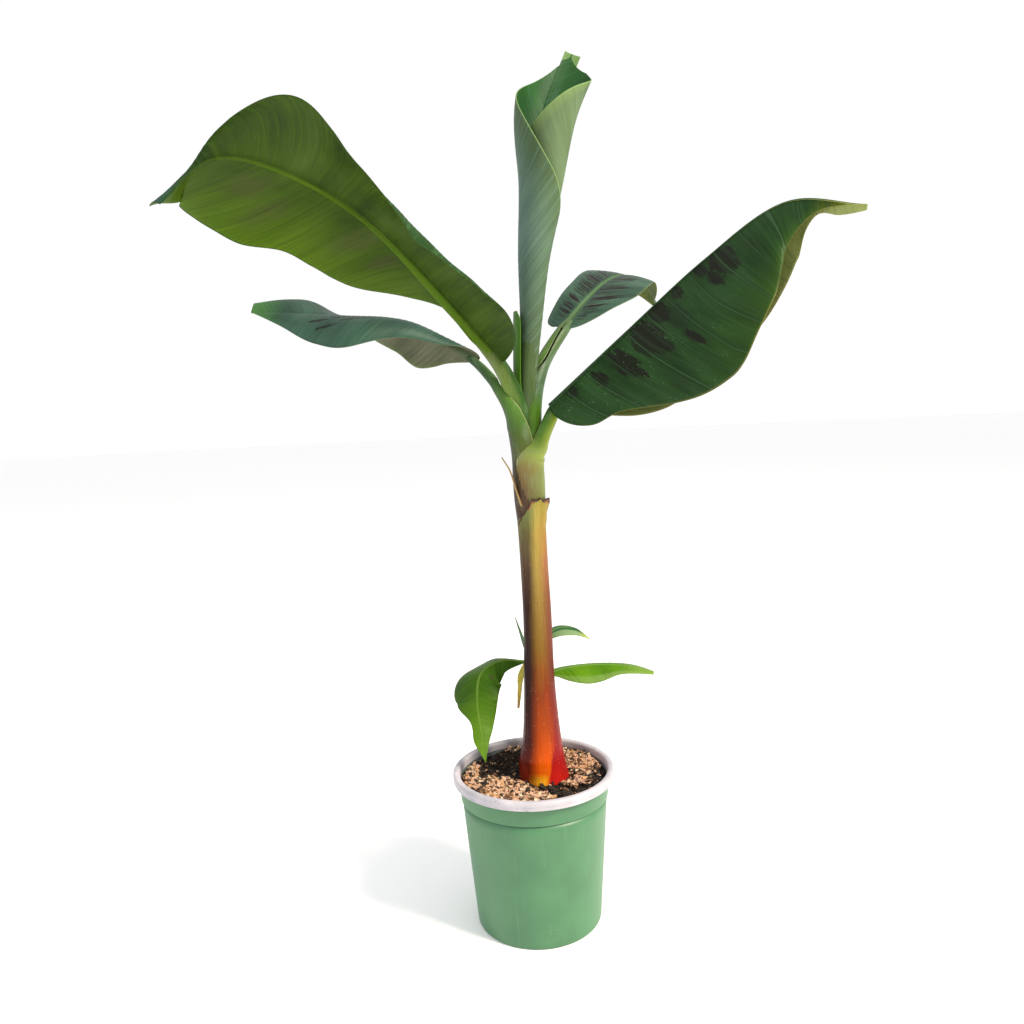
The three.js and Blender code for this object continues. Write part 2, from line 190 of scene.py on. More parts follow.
def make_piece(name, places, faces, materials, face_material=None, maps=None, smooth=True):
    """A mesh piece from places in millimetres, with its materials and any UV maps, riding on the plant."""
    mesh = bpy.data.meshes.new(name)
    mesh.from_pydata((np.asarray(places, float) * MM).tolist(), [], [list(f) for f in faces])
    for material in materials:
        mesh.materials.append(material)
    if face_material is not None:
        mesh.polygons.foreach_set("material_index", np.asarray(face_material, np.int32))
    corner = np.zeros(len(mesh.loops), np.int32)
    mesh.loops.foreach_get("vertex_index", corner)
    for title, values in (maps or {}).items():
        layer = mesh.uv_layers.new(name=title)
        layer.data.foreach_set("uv", np.asarray(values, np.float32)[corner].ravel())
    mesh.polygons.foreach_set("use_smooth", np.full(len(mesh.polygons), smooth))
    mesh.update()
    piece = bpy.data.objects.new(name, mesh)
    bpy.context.scene.collection.objects.link(piece)
    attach(piece, "root")
    return piece


def turned(outline, sides):
    """The places and faces of a closed outline of (radius, height) turned round the pot's axis."""
    angle = 2 * np.pi * np.arange(sides) / sides
    places = []
    faces = []
    rings = []
    for radius, height in outline:
        if radius == 0:
            rings.append([len(places)] * sides)
            places.append((0, 0, height))
        else:
            rings.append(list(range(len(places), len(places) + sides)))
            places.extend(zip(radius * np.cos(angle), radius * np.sin(angle), np.full(sides, height)))
    for low, high in zip(rings, rings[1:] + rings[:1]):
        for j in range(sides):
            k = (j + 1) % sides
            corners = list(dict.fromkeys([low[j], low[k], high[k], high[j]]))
            if len(corners) > 2:
                faces.append(corners)
    return places, faces


def tube_faces(rows, sides):
    """Faces of a closed tube of `rows` + 1 rings, with a flat cap on each end."""
    faces = []
    for i in range(rows):
        for j in range(sides):
            a = i * sides + j
            b = i * sides + (j + 1) % sides
            faces.append((a, b, b + sides, a + sides))
    return faces + [range(sides)[::-1], range(rows * sides, (rows + 1) * sides)]


def round_over(start, middle, end, count):
    """Places along a smooth bend from start to end that leans towards middle, without its first place."""
    share = np.arange(1, count + 1)[:, None] / count
    start, middle, end = (np.array(p, float) for p in (start, middle, end))
    return [tuple(p) for p in (1 - share) ** 2 * start + 2 * share * (1 - share) * middle + share ** 2 * end]


wall_top = POT_HEIGHT - LIP_HEIGHT
step_height = wall_top - STEP_BELOW_LIP
slope = (NECK_RADIUS - FOOT_RADIUS) / wall_top


def wall_radius(height):
    """The wall's outer radius: the band above the step stands a little further out."""
    return FOOT_RADIUS + slope * height - (STEP_DEPTH if height < step_height else 0)


outline = [(0, 0), (wall_radius(0) - 2, 0)]
outline += round_over((wall_radius(0) - 2, 0), (wall_radius(0), 0), (wall_radius(2), 2), 5)
outline += [(wall_radius(h), h) for h in np.linspace(6, step_height - 0.8, 14)]
groove = wall_radius(step_height - 0.4) - STEP_GROOVE
outline += round_over((wall_radius(step_height - 0.9), step_height - 0.9), (groove, step_height - 0.8),
                      (groove, step_height - 0.2), 3)
outline += round_over((wall_radius(step_height) - 0.3, step_height), (wall_radius(step_height), step_height),
                      (wall_radius(step_height + 0.8), step_height + 0.5), 3)
outline += [(wall_radius(h), h) for h in np.linspace(step_height + 3, wall_top - 0.1, 5)]
outline += [
    (NECK_RADIUS - POT_WALL, wall_top - 0.1),
    (wall_radius(INSIDE_SHOWS_TO) - POT_WALL, INSIDE_SHOWS_TO),
    (wall_radius(0) - POT_WALL, POT_FLOOR),
    (0, POT_FLOOR),
]
places, faces = turned(outline, POT_SIDES)
# The faces are listed ring by ring. The ring inside the wall's top, above the soil, is painted dark as shade
shaded_ring = len(outline) - 4
kinds = [int(i // POT_SIDES == shaded_ring) for i in range(len(faces))]


def soiled(tree, where, skin, crumb, crumb_edge, patch, patch_edge, code):
    """Crumbs of soil that cling to a skin in patches. `crumb` and `patch` are their spacings in millimetres,
    and each edge is where they fade out and in."""
    speck = add(tree, "TexVoronoi", {"Vector": where, "Scale": 1 / (crumb * MM)}).outputs["Distance"]
    cloud = add(tree, "TexNoise", {"Vector": where, "Scale": 1 / (patch * MM), "Detail": 2.0}).outputs["Fac"]
    dirty = 1.0
    for value, (low, high) in ((speck, crumb_edge), (cloud, patch_edge)):
        shown = add(tree, "MapRange", {"Value": value, "From Min": low, "From Max": high}).outputs[0]
        dirty = add(tree, "Math", {0: dirty, 1: shown}, operation="MULTIPLY").outputs[0]
    return add(tree, "Mix", {0: dirty, 6: skin, 7: colour(code)}, data_type="RGBA").outputs[2]


# Polypropylene is faintly see-through and satin, so its colour stays even and its shine is broad and dull.
# Here and below, a pattern's scale is one over the size of its grains in millimetres.
polypropylene, tree, shader = new_material("moulded_green_polypropylene", 0.42, IOR=1.49)
where = add(tree, "TexCoord").outputs["Object"]
cloud = add(tree, "TexNoise", {"Vector": where, "Scale": 1 / (26.3 * MM), "Detail": 4.0}).outputs["Fac"]
green = add(tree, "ValToRGB", {"Fac": cloud}, [(0.3, "#3c6a47"), (0.7, "#457650")]).outputs["Color"]
upright = [1 / (size * MM) for size in (3.03, 3.03, 45.5)]
upright = add(tree, "Mapping", {"Vector": where, "Scale": upright}).outputs["Vector"]
scuff = add(tree, "TexNoise", {"Vector": upright, "Scale": 1.0, "Detail": 2.0}).outputs["Fac"]
scuffed = add(tree, "MapRange", {"Value": scuff, "From Min": 0.6, "From Max": 0.8, "To Max": 0.35}).outputs[0]
paler = add(tree, "Mix", {0: scuffed, 6: green, 7: colour("#56865f")}, data_type="RGBA").outputs[2]
dusted = soiled(tree, where, paler, 3.23, (0.16, 0.1), 16.7, (0.56, 0.66), "#4a3a2c")
tree.links.new(dusted, shader.inputs["Base Color"])
shine = add(tree, "MapRange", {"Value": cloud, "To Min": 0.34, "To Max": 0.52}).outputs[0]
tree.links.new(shine, shader.inputs["Roughness"])
skin = add(tree, "TexNoise", {"Vector": where, "Scale": 1 / (1.11 * MM), "Detail": 2.0}).outputs["Fac"]
bump = add(tree, "Bump", {"Height": skin, "Strength": 0.15, "Distance": 0.0003}).outputs["Normal"]
tree.links.new(bump, shader.inputs["Normal"])

# Painted shade: the inside above the soil is a dark mottled grey, as little light falls inside the wall
MOTTLE_GRAIN = 1.85
shaded_inside, tree, shader = new_material("shaded_pot_inside", 0.7)
mottle = add(tree, "TexNoise", {"Scale": 2 * NECK_RADIUS / MOTTLE_GRAIN, "Detail": 4.0}).outputs["Fac"]
tone = add(tree, "ValToRGB", {"Fac": mottle}, [(0.3, "#34393c"), (0.7, "#4c5256")]).outputs["Color"]
tree.links.new(tone, shader.inputs["Base Color"])

pot_shell = make_piece("pot_shell", places, faces, [polypropylene, shaded_inside], kinds)
for i in range(DRAIN_HOLES):
    turn = 2 * math.pi * i / DRAIN_HOLES
    middle = np.array([DRAIN_RING * math.cos(turn), DRAIN_RING * math.sin(turn), 0])
    turns = [2 * math.pi * j / DRAIN_SIDES for j in range(DRAIN_SIDES)]
    ring = [(DRAIN_RADIUS * math.cos(a), DRAIN_RADIUS * math.sin(a)) for a in turns]
    places = [middle + (x, y, z) for z in (-2, POT_FLOOR + 2) for x, y in ring]
    punch_mesh = bpy.data.meshes.new("punch")
    punch_mesh.from_pydata([tuple(p * MM) for p in places], [], tube_faces(1, DRAIN_SIDES))
    punch = bpy.data.objects.new("punch", punch_mesh)
    bpy.context.scene.collection.objects.link(punch)
    cut = pot_shell.modifiers.new("drain_hole", "BOOLEAN")
    cut.operation = "DIFFERENCE"
    cut.object = punch
    bpy.context.view_layer.update()
    with bpy.context.temp_override(object=pot_shell, active_object=pot_shell):
        bpy.ops.object.modifier_apply(modifier=cut.name)
    bpy.data.objects.remove(punch)
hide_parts("pot_wall")


# Pot lip
# The rolled lip is moulded on in a pale grey, with a rounded top, a small bead underneath and a slightly
# hollow outer face. It is dusty, and a few crumbs of soil cling to it.
LIP_RADIUS = 60
inner = NECK_RADIUS - POT_WALL
low = wall_top + 0.3
underside = (LIP_RADIUS - 1.5, low)
bead = (LIP_RADIUS - 0.5, low + 1.1)
hollow = (LIP_RADIUS - 0.25, low + 3.2)
crown = (LIP_RADIUS - 2.4, POT_HEIGHT)
outline = [(inner, low), underside]
outline += round_over(underside, (LIP_RADIUS - 0.2, low), bead, 4)
outline += round_over(bead, (LIP_RADIUS - 0.9, low + 2), hollow, 4)
outline += round_over(hollow, (LIP_RADIUS + 0.3, POT_HEIGHT - 0.2), crown, 8)
outline += round_over(crown, (inner + 0.4, POT_HEIGHT), (inner + 0.2, POT_HEIGHT - 2.6), 8)
outline += [(inner, wall_top + 2)]
places, faces = turned(outline, POT_SIDES)

# The same polypropylene in pale grey: a broad dull shine, clouded by dust that has been wiped about
dusty_grey, tree, shader = new_material("moulded_grey_polypropylene", 0.45, IOR=1.49)
where = add(tree, "TexCoord").outputs["Object"]
cloud = add(tree, "TexNoise", {"Vector": where, "Scale": 1 / (18.2 * MM), "Detail": 5.0}).outputs["Fac"]
grey = add(tree, "ValToRGB", {"Fac": cloud}, [(0.3, "#9a98a0"), (0.72, "#bcb6bb")]).outputs["Color"]
dusted = soiled(tree, where, grey, 2.38, (0.2, 0.12), 11.1, (0.5, 0.62), "#5a4838")
tree.links.new(dusted, shader.inputs["Base Color"])
bump = add(tree, "Bump", {"Height": cloud, "Strength": 0.2, "Distance": 0.0004}).outputs["Normal"]
tree.links.new(bump, shader.inputs["Normal"])

pot_lip = make_piece("pot_lip", places, faces, [dusty_grey])
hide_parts("pot_rim")


# Soil
# Dark moist peat under a loose top dressing of tan coir chips and bark. The bed is one lumpy closed body,
# and the chips and crumbs lie on it by the thousand, each a rough splinter that keeps one plain colour. The
# near-black of the peat and its crumbs is partly painted shade, for the shade in the gaps between the chips.
SOIL_LEVEL = 104
SOIL_EDGE_DROP = 1.5
SOIL_WALL_GAP = 0.4
BED_DROP = 0.9
LUMP_HEIGHT = 0.62
RISE_TO_WALL = 4.0
RISE_FROM = 27
RISE_WIDTH = 20
HEAP_RISE = 1.5
SOIL_RINGS = 56
SOIL_SIDES = 160
CHIPS = 4300
CRUMBS = 1800
CHIP_SIZES = (1.4, 3.2)
CRUMB_SIZES = (0.6, 1.5)
CHIP_GRAIN = 0.119
CHIPS_REACH = 0.975
# The middle of each dry heap on the dark peat, and its reach to the side and to the back
DRY_HEAPS = [
    (-30, -28, 33, 34), (38, 32, 20, 36), (-49, 12, 9, 17), (0, -34, 13, 14), (30, -8, 12, 7),
    (-15, 50, 12, 6),
]
# Where the stem and the side shoot stand, no chips lie: the middle and the radius of each such place
STANDING_PLACES = [(8, 9, 18.8), (11, 37, 8.6)]
# How often each of the five chip materials comes up, on the heaps and on the peat between them
HEAP_MIX = [0.4, 0.27, 0.16, 0.24, 0.07]
PEAT_MIX = [0.03, 0.03, 0.12, 0.8, 0.02]
chance = random.Random(7)
waves = [(chance.uniform(0.05, 0.42), chance.uniform(0, 6.3), chance.uniform(0, 6.3)) for _ in range(26)]


def dry_share(x, y):
    """How deep a place lies in the dry heaps: 1 at the middle of a heap, 0 at its foot, less outside."""
    return np.max([1 - np.hypot((x - a) / u, (y - b) / v) for a, b, u, v in DRY_HEAPS], axis=0)


def soil_height(x, y):
    """The height of the bed at a place: small lumps, higher under the heaps and towards the wall."""
    lumps = sum(np.sin(f * (x * math.cos(a) + y * math.sin(a)) + p) for f, a, p in waves) / len(waves) ** 0.5
    rise = RISE_TO_WALL * np.clip((np.hypot(x, y) - RISE_FROM) / RISE_WIDTH, 0, 1)
    heap = HEAP_RISE * np.clip(2 * dry_share(x, y), 0, 1)
    return SOIL_LEVEL - BED_DROP + LUMP_HEIGHT * lumps + rise + heap


soil_edge = wall_radius(SOIL_LEVEL - SOIL_EDGE_DROP) - POT_WALL - SOIL_WALL_GAP
foot_edge = wall_radius(4) - POT_WALL - SOIL_WALL_GAP
angle = 2 * np.pi * np.arange(SOIL_SIDES) / SOIL_SIDES
places = [(0.0, 0.0, float(soil_height(0.0, 0.0)))]
for i in range(1, SOIL_RINGS + 1):
    x = soil_edge * i / SOIL_RINGS * np.cos(angle)
    y = soil_edge * i / SOIL_RINGS * np.sin(angle)
    places.extend(zip(x, y, soil_height(x, y)))
places.extend(zip(foot_edge * np.cos(angle), foot_edge * np.sin(angle), np.full(SOIL_SIDES, POT_FLOOR + 0.3)))
faces = [(0, 1 + j, 1 + (j + 1) % SOIL_SIDES) for j in range(SOIL_SIDES)]
for i in range(SOIL_RINGS):
    for j in range(SOIL_SIDES):
        a = 1 + i * SOIL_SIDES + j
        b = 1 + i * SOIL_SIDES + (j + 1) % SOIL_SIDES
        faces.append((a, a + SOIL_SIDES, b + SOIL_SIDES, b))
foot = 1 + SOIL_RINGS * SOIL_SIDES
faces.append(range(foot, foot + SOIL_SIDES)[::-1])

# Moist peat: matt, almost black, with paler fibres on its high spots. Its near-black is partly painted shade
peat, tree, shader = new_material("moist_peat_and_shade", 0.92, Specular_IOR_Level=0.2)
where = add(tree, "TexCoord").outputs["Object"]
fibre = add(tree, "TexNoise", {"Vector": where, "Scale": 1 / (2.38 * MM), "Detail": 6.0,
                               "Roughness": 0.7}).outputs["Fac"]
tone = add(tree, "ValToRGB", {"Fac": fibre}, [(0.35, "#130d08"), (0.62, "#261a10"), (0.8, "#5a432c")])
tree.links.new(tone.outputs["Color"], shader.inputs["Base Color"])
bump = add(tree, "Bump", {"Height": fibre, "Strength": 0.9, "Distance": 0.0012}).outputs["Normal"]
tree.links.new(bump, shader.inputs["Normal"])

soil_bed = make_piece("soil_bed", places, faces, [peat])
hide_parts("potting_soil")


def plain_fibre(name, dark, light):
    """Dry coir, bark or peat: matt, of one plain colour, dealt out by the chip. Only its grain varies."""
    material, tree, shader = new_material(name, 0.88)
    shader.inputs["Base Color"].default_value = colour(light)
    grain = add(tree, "TexNoise", {"Scale": 2 * soil_edge / CHIP_GRAIN, "Detail": 3.0}).outputs["Fac"]
    tone = add(tree, "ValToRGB", {"Fac": grain}, [(0.35, dark), (0.62, light)]).outputs["Color"]
    tree.links.new(tone, shader.inputs["Base Color"])
    return material


chip_materials = [
    plain_fibre("pinkish_coir_chip", "#a98064", "#cba68a"),
    plain_fibre("tan_coir_chip", "#9a7048", "#bd9268"),
    plain_fibre("brown_bark_chip", "#52361f", "#6f4c30"),
    plain_fibre("dark_peat_crumb_and_shade", "#17100a", "#261a10"),
    plain_fibre("pale_dry_fibre", "#c0a684", "#dccbb0"),
]


def splinter(size):
    """The eight corners of one rough splinter, about its own middle."""
    length = size * chance.uniform(0.8, 1.7)
    width = size * chance.uniform(0.45, 0.9)
    depth = size * chance.uniform(0.25, 0.5)
    corners = []
    for k in range(8):
        x, y, z = (k & 1) - 0.5, (k >> 1 & 1) - 0.5, (k >> 2) - 0.5
        taper = 1 - 0.5 * abs(x + 0.5) * chance.random()
        corners.append([v + chance.uniform(-0.16, 0.16) for v in (x, y * taper, z * taper)])
    return np.array(corners) * (length, width, depth)


BOX_FACES = [(0, 2, 3, 1), (4, 5, 7, 6), (0, 1, 5, 4), (2, 6, 7, 3), (0, 4, 6, 2), (1, 3, 7, 5)]
places = []
faces = []
kinds = []
for i in range(CHIPS + CRUMBS):
    turn = chance.uniform(0, 2 * math.pi)
    reach = soil_edge * CHIPS_REACH * chance.random() ** 0.5
    x = reach * math.cos(turn)
    y = reach * math.sin(turn)
    if any(math.hypot(x - a, y - b) < radius for a, b, radius in STANDING_PLACES):
        continue
    # The dry chips lie on the heaps, and moist peat with a few of them shows in between
    dryness = min(1, max(0, 3 * float(dry_share(x, y)) + 0.12)) + chance.uniform(-0.15, 0.15)
    if i < CHIPS and chance.random() > 0.1 + 0.9 * dryness:
        continue
    size = chance.uniform(*(CHIP_SIZES if i < CHIPS else CRUMB_SIZES))
    yaw, nod, tip = chance.uniform(0, 6.3), chance.gauss(0, 0.4), chance.gauss(0, 0.4)
    spin = Matrix.Rotation(yaw, 3, "Z") @ Matrix.Rotation(nod, 3, "X") @ Matrix.Rotation(tip, 3, "Y")
    body = splinter(size) @ np.array(spin).T
    lift = 0.25 * size + (chance.uniform(0, 1.3) if i < CHIPS else 0)
    body += (x, y, float(soil_height(x, y)) + lift)
    if np.hypot(body[:, 0], body[:, 1]).max() > soil_edge:
        continue
    start = len(places)
    places.extend(body)
    faces.extend([tuple(start + c for c in face) for face in BOX_FACES])
    mix = HEAP_MIX if dryness > 0.3 else PEAT_MIX
    kinds.extend(chance.choices(range(5), mix) * len(BOX_FACES))

soil_chips = make_piece("soil_chips", places, faces, chip_materials, kinds, smooth=False)
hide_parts("potting_soil")


# False stem
# What looks like a trunk is leaf sheaths wrapped round each other, moist and solid. Old sheaths end in long
# slanting edges, fine ribs run up it, and its colour goes from olive at the top through red to orange at the
# foot. Its left side is painted dark maroon as shade. The skin is waxy and smooth, with a wet shine at the
# base.
STEM_LINE = [(8, 9, 96), (7.6, 8.5, 165), (8.1, 6.5, 235), (6.6, 4, 304), (6.4, 0, 373)]
STEM_RADII = [20, 15, 12.2, 11, 10.5, 10.2, 10.4, 11.4, 11.4]
STEM_TOP = STEM_LINE[-1][2]
GROUND = 104.3
STEM_ROWS = 300
STEM_SIDES = 140
STEM_SHOWS_TO = 0.86
DRAWN_IN = 1.3
DRAWN_IN_FROM = 300
DRAWN_IN_OVER = 12
# The swelling at the left of the foot: how far it stands out, the height and the turn in radians that it
# faces, and how far it spreads round the stem and up it
FOOT_BULGE = 1.8
FOOT_BULGE_HEIGHT = 117
FOOT_BULGE_TURN = 3.5
FOOT_BULGE_WIDTH = 0.8
FOOT_BULGE_RISE = 9
SMOOTH_BELOW = 106
ROUGHENS_OVER = 20
SKIN_MAP_RADIUS = 12


def through(values, t):
    """A number or a place that runs smoothly through evenly spaced values, with t from 0 to 1."""
    values = np.asarray(values, float)
    ends = np.concatenate([[2 * values[0] - values[1]], values, [2 * values[-1] - values[-2]]])
    last = len(values) - 1
    place = np.clip(np.asarray(t, float), 0, 1) * last
    i = np.minimum(place.astype(int), last - 1)
    f = place - i
    if values.ndim > 1:
        f = f[..., None]
    a, b, c, d = ends[i], ends[i + 1], ends[i + 2], ends[i + 3]
    return b + 0.5 * f * (c - a + f * (2 * a - 5 * b + 4 * c - d + f * (3 * (b - c) + d - a)))


def directions(line, t, up, reach=1e-4):
    """At each t along a line: the way ahead, square to it towards `up`, and to the left of both. A longer
    reach evens the turns of a line that bends sharply."""
    ahead = through(line, np.minimum(t + reach, 1)) - through(line, np.maximum(t - reach, 0))
    ahead /= np.linalg.norm(ahead, axis=1)[:, None]
    above = np.array(up, float) - ahead * (ahead @ np.array(up, float))[:, None]
    above /= np.linalg.norm(above, axis=1)[:, None]
    return ahead, above, np.cross(above, ahead)


# Each sheath edge: where it starts round the stem (degrees, 270 faces the viewer), the height it starts and
# ends at, how far round it swings on the way up, and the depth of the step down from it. The step takes
# EDGE_WIDTH to go down, and the skin comes out again over about EDGE_FADE, measured round the stem.
SHEATH_EDGES = [
    (318, 104, 128, 26, 0.8),
    (236, 104, 119, -22, 0.7),
    (350, 104, 300, -14, 0.35),
    (208, 104, 290, 14, 0.3),
    (120, 104, 300, -34, 0.5),
    (60, 104, 280, 24, 0.5),
]
MIDDLE_RADIUS = 11
EDGE_WIDTH = 0.35
EDGE_FADE = 7


def step_down(angle, height):
    """How far the skin lies in behind each sheath edge: a sharp step that fades out round the stem."""
    depth = np.zeros_like(angle)
    for start, low, high, swing, drop in SHEATH_EDGES:
        share = (height - low) / (high - low)
        edge = math.radians(start) + math.radians(swing) * share
        behind = np.mod(angle - edge, 2 * np.pi) * MIDDLE_RADIUS
        fade = np.clip(share * 6, 0, 1) * np.clip((1 - share) * 6, 0, 1) * (share > 0) * (share < 1)
        depth += drop * fade * np.clip(behind / EDGE_WIDTH, 0, 1) * np.exp(-behind / EDGE_FADE)
    return depth


t = np.linspace(0, STEM_SHOWS_TO, STEM_ROWS + 1)
centre = through(STEM_LINE, t)
ahead, above, left = directions(STEM_LINE, t, (0, 1, 0))
angle = 2 * np.pi * np.arange(STEM_SIDES) / STEM_SIDES
turn, stage = np.meshgrid(angle, t)
height = centre[:, 2:3] + 0 * turn
radius = through(STEM_RADII, stage) - step_down(turn, height)
radius -= DRAWN_IN * np.clip((height - DRAWN_IN_FROM) / DRAWN_IN_OVER, 0, 1) ** 2
aside = (np.mod(turn, 2 * np.pi) - FOOT_BULGE_TURN) / FOOT_BULGE_WIDTH
upward_off = (height - FOOT_BULGE_HEIGHT) / FOOT_BULGE_RISE
radius += FOOT_BULGE * np.exp(-aside ** 2 - upward_off ** 2)
# Two sets of faint ribs, 58 and 31 of them round the stem, and a slow unevenness, from just above the soil
ribs = 0.05 * np.sin(58 * turn) + 0.04 * np.sin(31 * turn + 0.02 * height)
lumps = 0.16 * np.sin(3 * turn + height / 17) * np.sin(height / 29 + 1.3)
radius += (ribs + lumps) * np.clip((height - SMOOTH_BELOW) / ROUGHENS_OVER, 0, 1)
ring = np.cos(turn)[..., None] * left[:, None] + np.sin(turn)[..., None] * above[:, None]
places = centre[:, None] + radius[..., None] * ring
places[..., 2] = np.maximum(places[..., 2], GROUND - 1.6)
share = (places[..., 2] - GROUND) / (STEM_TOP - GROUND)
maps = {
    "round": np.stack([turn * SKIN_MAP_RADIUS, places[..., 2]], -1).reshape(-1, 2),
    "side": np.stack([ring[..., 0], share], -1).reshape(-1, 2),
}

# Living sheath tissue is smooth and waxy: its colour is clean and its highlight soft, and wetter at the foot.
# One coordinate runs from the left edge to the right one and one from the foot up, and three ramps of colour
# up the stem, for its left in painted shade, its front and its right, are blended across it.
sheath_skin, tree, shader = new_material("waxy_leaf_sheath", 0.36, IOR=1.45, Specular_IOR_Level=0.14)
side = add(tree, "SeparateXYZ", {0: add(tree, "UVMap", uv_map="side").outputs[0]})
around = add(tree, "UVMap", uv_map="round").outputs[0]
warp = add(tree, "Mapping", {"Vector": around, "Scale": (1 / 8.33, 1 / 33.3, 1)}).outputs[0]
drift = add(tree, "TexNoise", {"Vector": warp, "Scale": 1.0, "Detail": 3.0}).outputs["Fac"]
level = add(tree, "MapRange", {"Value": drift, "To Min": -0.07, "To Max": 0.07}).outputs[0]
up_share = add(tree, "Math", {0: side.outputs[1], 1: level}, operation="ADD").outputs[0]
front = add(tree, "ValToRGB", {"Fac": up_share}, [
    (0.0, "#c45408"), (0.055, "#c84e04"), (0.13, "#a03e04"), (0.24, "#762f08"), (0.37, "#705016"),
    (0.48, "#7a602a"), (0.58, "#887236"), (0.68, "#9c883e"), (0.76, "#9e9048"), (1.0, "#74783a"),
]).outputs["Color"]
right = add(tree, "ValToRGB", {"Fac": up_share}, [
    (0.0, "#a41a14"), (0.06, "#8e1514"), (0.14, "#6c1812"), (0.3, "#561c10"), (0.42, "#5e2a18"),
    (0.52, "#683822"), (0.62, "#855436"), (0.68, "#8c6c2e"), (0.76, "#8e7e2e"), (1.0, "#63702a"),
]).outputs["Color"]
# Painted shade: the dark ramp for the stem's left side, which lies in shade
shade = add(tree, "ValToRGB", {"Fac": up_share}, [
    (0.0, "#6a1c0c"), (0.1, "#3e0c06"), (0.3, "#200603"), (0.5, "#2c1006"), (0.61, "#503c2a"),
    (0.69, "#5c5632"), (0.76, "#66703e"), (1.0, "#4c6a38"),
]).outputs["Color"]
edge_drift = add(tree, "MapRange", {"Value": drift, "To Min": -0.1, "To Max": 0.1}).outputs[0]
sideness = add(tree, "Math", {0: side.outputs[0], 1: edge_drift}, operation="ADD").outputs[0]
red_edge = add(tree, "MapRange", {"Value": side.outputs[1], "From Max": 0.1, "To Min": 0.1,
                                  "To Max": 0.5}).outputs[0]
past_edge = add(tree, "Math", {0: sideness, 1: red_edge}, operation="SUBTRACT").outputs[0]
softer = add(tree, "MapRange", {"Value": side.outputs[1], "From Min": 0.05, "From Max": 0.2, "To Min": 0.05,
                                "To Max": 0.3}).outputs[0]
right_share = add(tree, "Math", {0: past_edge, 1: softer}, operation="DIVIDE").outputs[0]
to_right = add(tree, "MapRange", {"Value": right_share, "From Min": -1.0, "From Max": 1.0}).outputs[0]
shade_edge = add(tree, "MapRange", {"Value": side.outputs[1], "From Min": 0.45, "From Max": 0.75,
                                    "To Max": 0.5}).outputs[0]
from_shade = add(tree, "Math", {0: sideness, 1: shade_edge}, operation="SUBTRACT").outputs[0]
to_left = add(tree, "MapRange", {"Value": from_shade, "From Min": -0.18, "From Max": -0.66}).outputs[0]
yellow_side = add(tree, "MapRange", {"Value": sideness, "From Min": 0.2, "From Max": 0.0}).outputs[0]
yellow_low = add(tree, "MapRange", {"Value": side.outputs[1], "From Min": 0.03, "From Max": 0.012}).outputs[0]
yellow = add(tree, "Math", {0: yellow_side, 1: yellow_low}, operation="MULTIPLY").outputs[0]
front = add(tree, "Mix", {0: yellow, 6: front, 7: colour("#d8941c")}, data_type="RGBA").outputs[2]
warm = add(tree, "Mix", {0: to_right, 6: front, 7: right}, data_type="RGBA").outputs[2]
body = add(tree, "Mix", {0: to_left, 6: warm, 7: shade}, data_type="RGBA").outputs[2]
fine = add(tree, "Mapping", {"Vector": around, "Scale": (1 / 0.588, 1 / 28.6, 1)}).outputs[0]
streak = add(tree, "TexNoise", {"Vector": fine, "Scale": 1.0, "Detail": 3.0, "Roughness": 0.6}).outputs["Fac"]
streaky = add(tree, "MapRange", {"Value": streak, "From Min": 0.35, "From Max": 0.7, "To Min": 0.82,
                                 "To Max": 1.16}).outputs[0]
lined = add(tree, "VectorMath", {0: body, 3: streaky}, operation="SCALE").outputs[0]
# Pale dots scattered over the skin are painted glints
dots = add(tree, "Mapping", {"Vector": around, "Scale": (1 / 2, 1 / 3.33, 1)}).outputs[0]
dot = add(tree, "TexVoronoi", {"Vector": dots, "Scale": 1.0}).outputs["Distance"]
spotted = add(tree, "MapRange", {"Value": dot, "From Min": 0.1, "From Max": 0.05, "To Max": 0.5}).outputs[0]
glinted = add(tree, "Mix", {0: spotted, 6: lined, 7: colour("#e8c8a0")}, data_type="RGBA").outputs[2]
tree.links.new(glinted, shader.inputs["Base Color"])
wetness = add(tree, "MapRange", {"Value": side.outputs[1], "From Min": 0.05, "From Max": 0.4, "To Min": 0.22,
                                 "To Max": 0.38}).outputs[0]
tree.links.new(wetness, shader.inputs["Roughness"])
bump = add(tree, "Bump", {"Height": streak, "Strength": 0.35, "Distance": 0.0005}).outputs["Normal"]
tree.links.new(bump, shader.inputs["Normal"])

false_trunk = make_piece("wrapped_sheaths", places.reshape(-1, 3), tube_faces(STEM_ROWS, STEM_SIDES),
                         [sheath_skin], maps=maps)
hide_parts("false_stem")


# Leaf stalks
# Each stalk is the drawn-in top of a sheath: an open roll, thick at its back and thin at its two margins. It
# clasps the stem with the other sheaths inside it, then narrows and leans out to a firm channelled stalk,
# which runs on into the leaf's midrib. Directions round it are in degrees, and 270 faces the viewer.

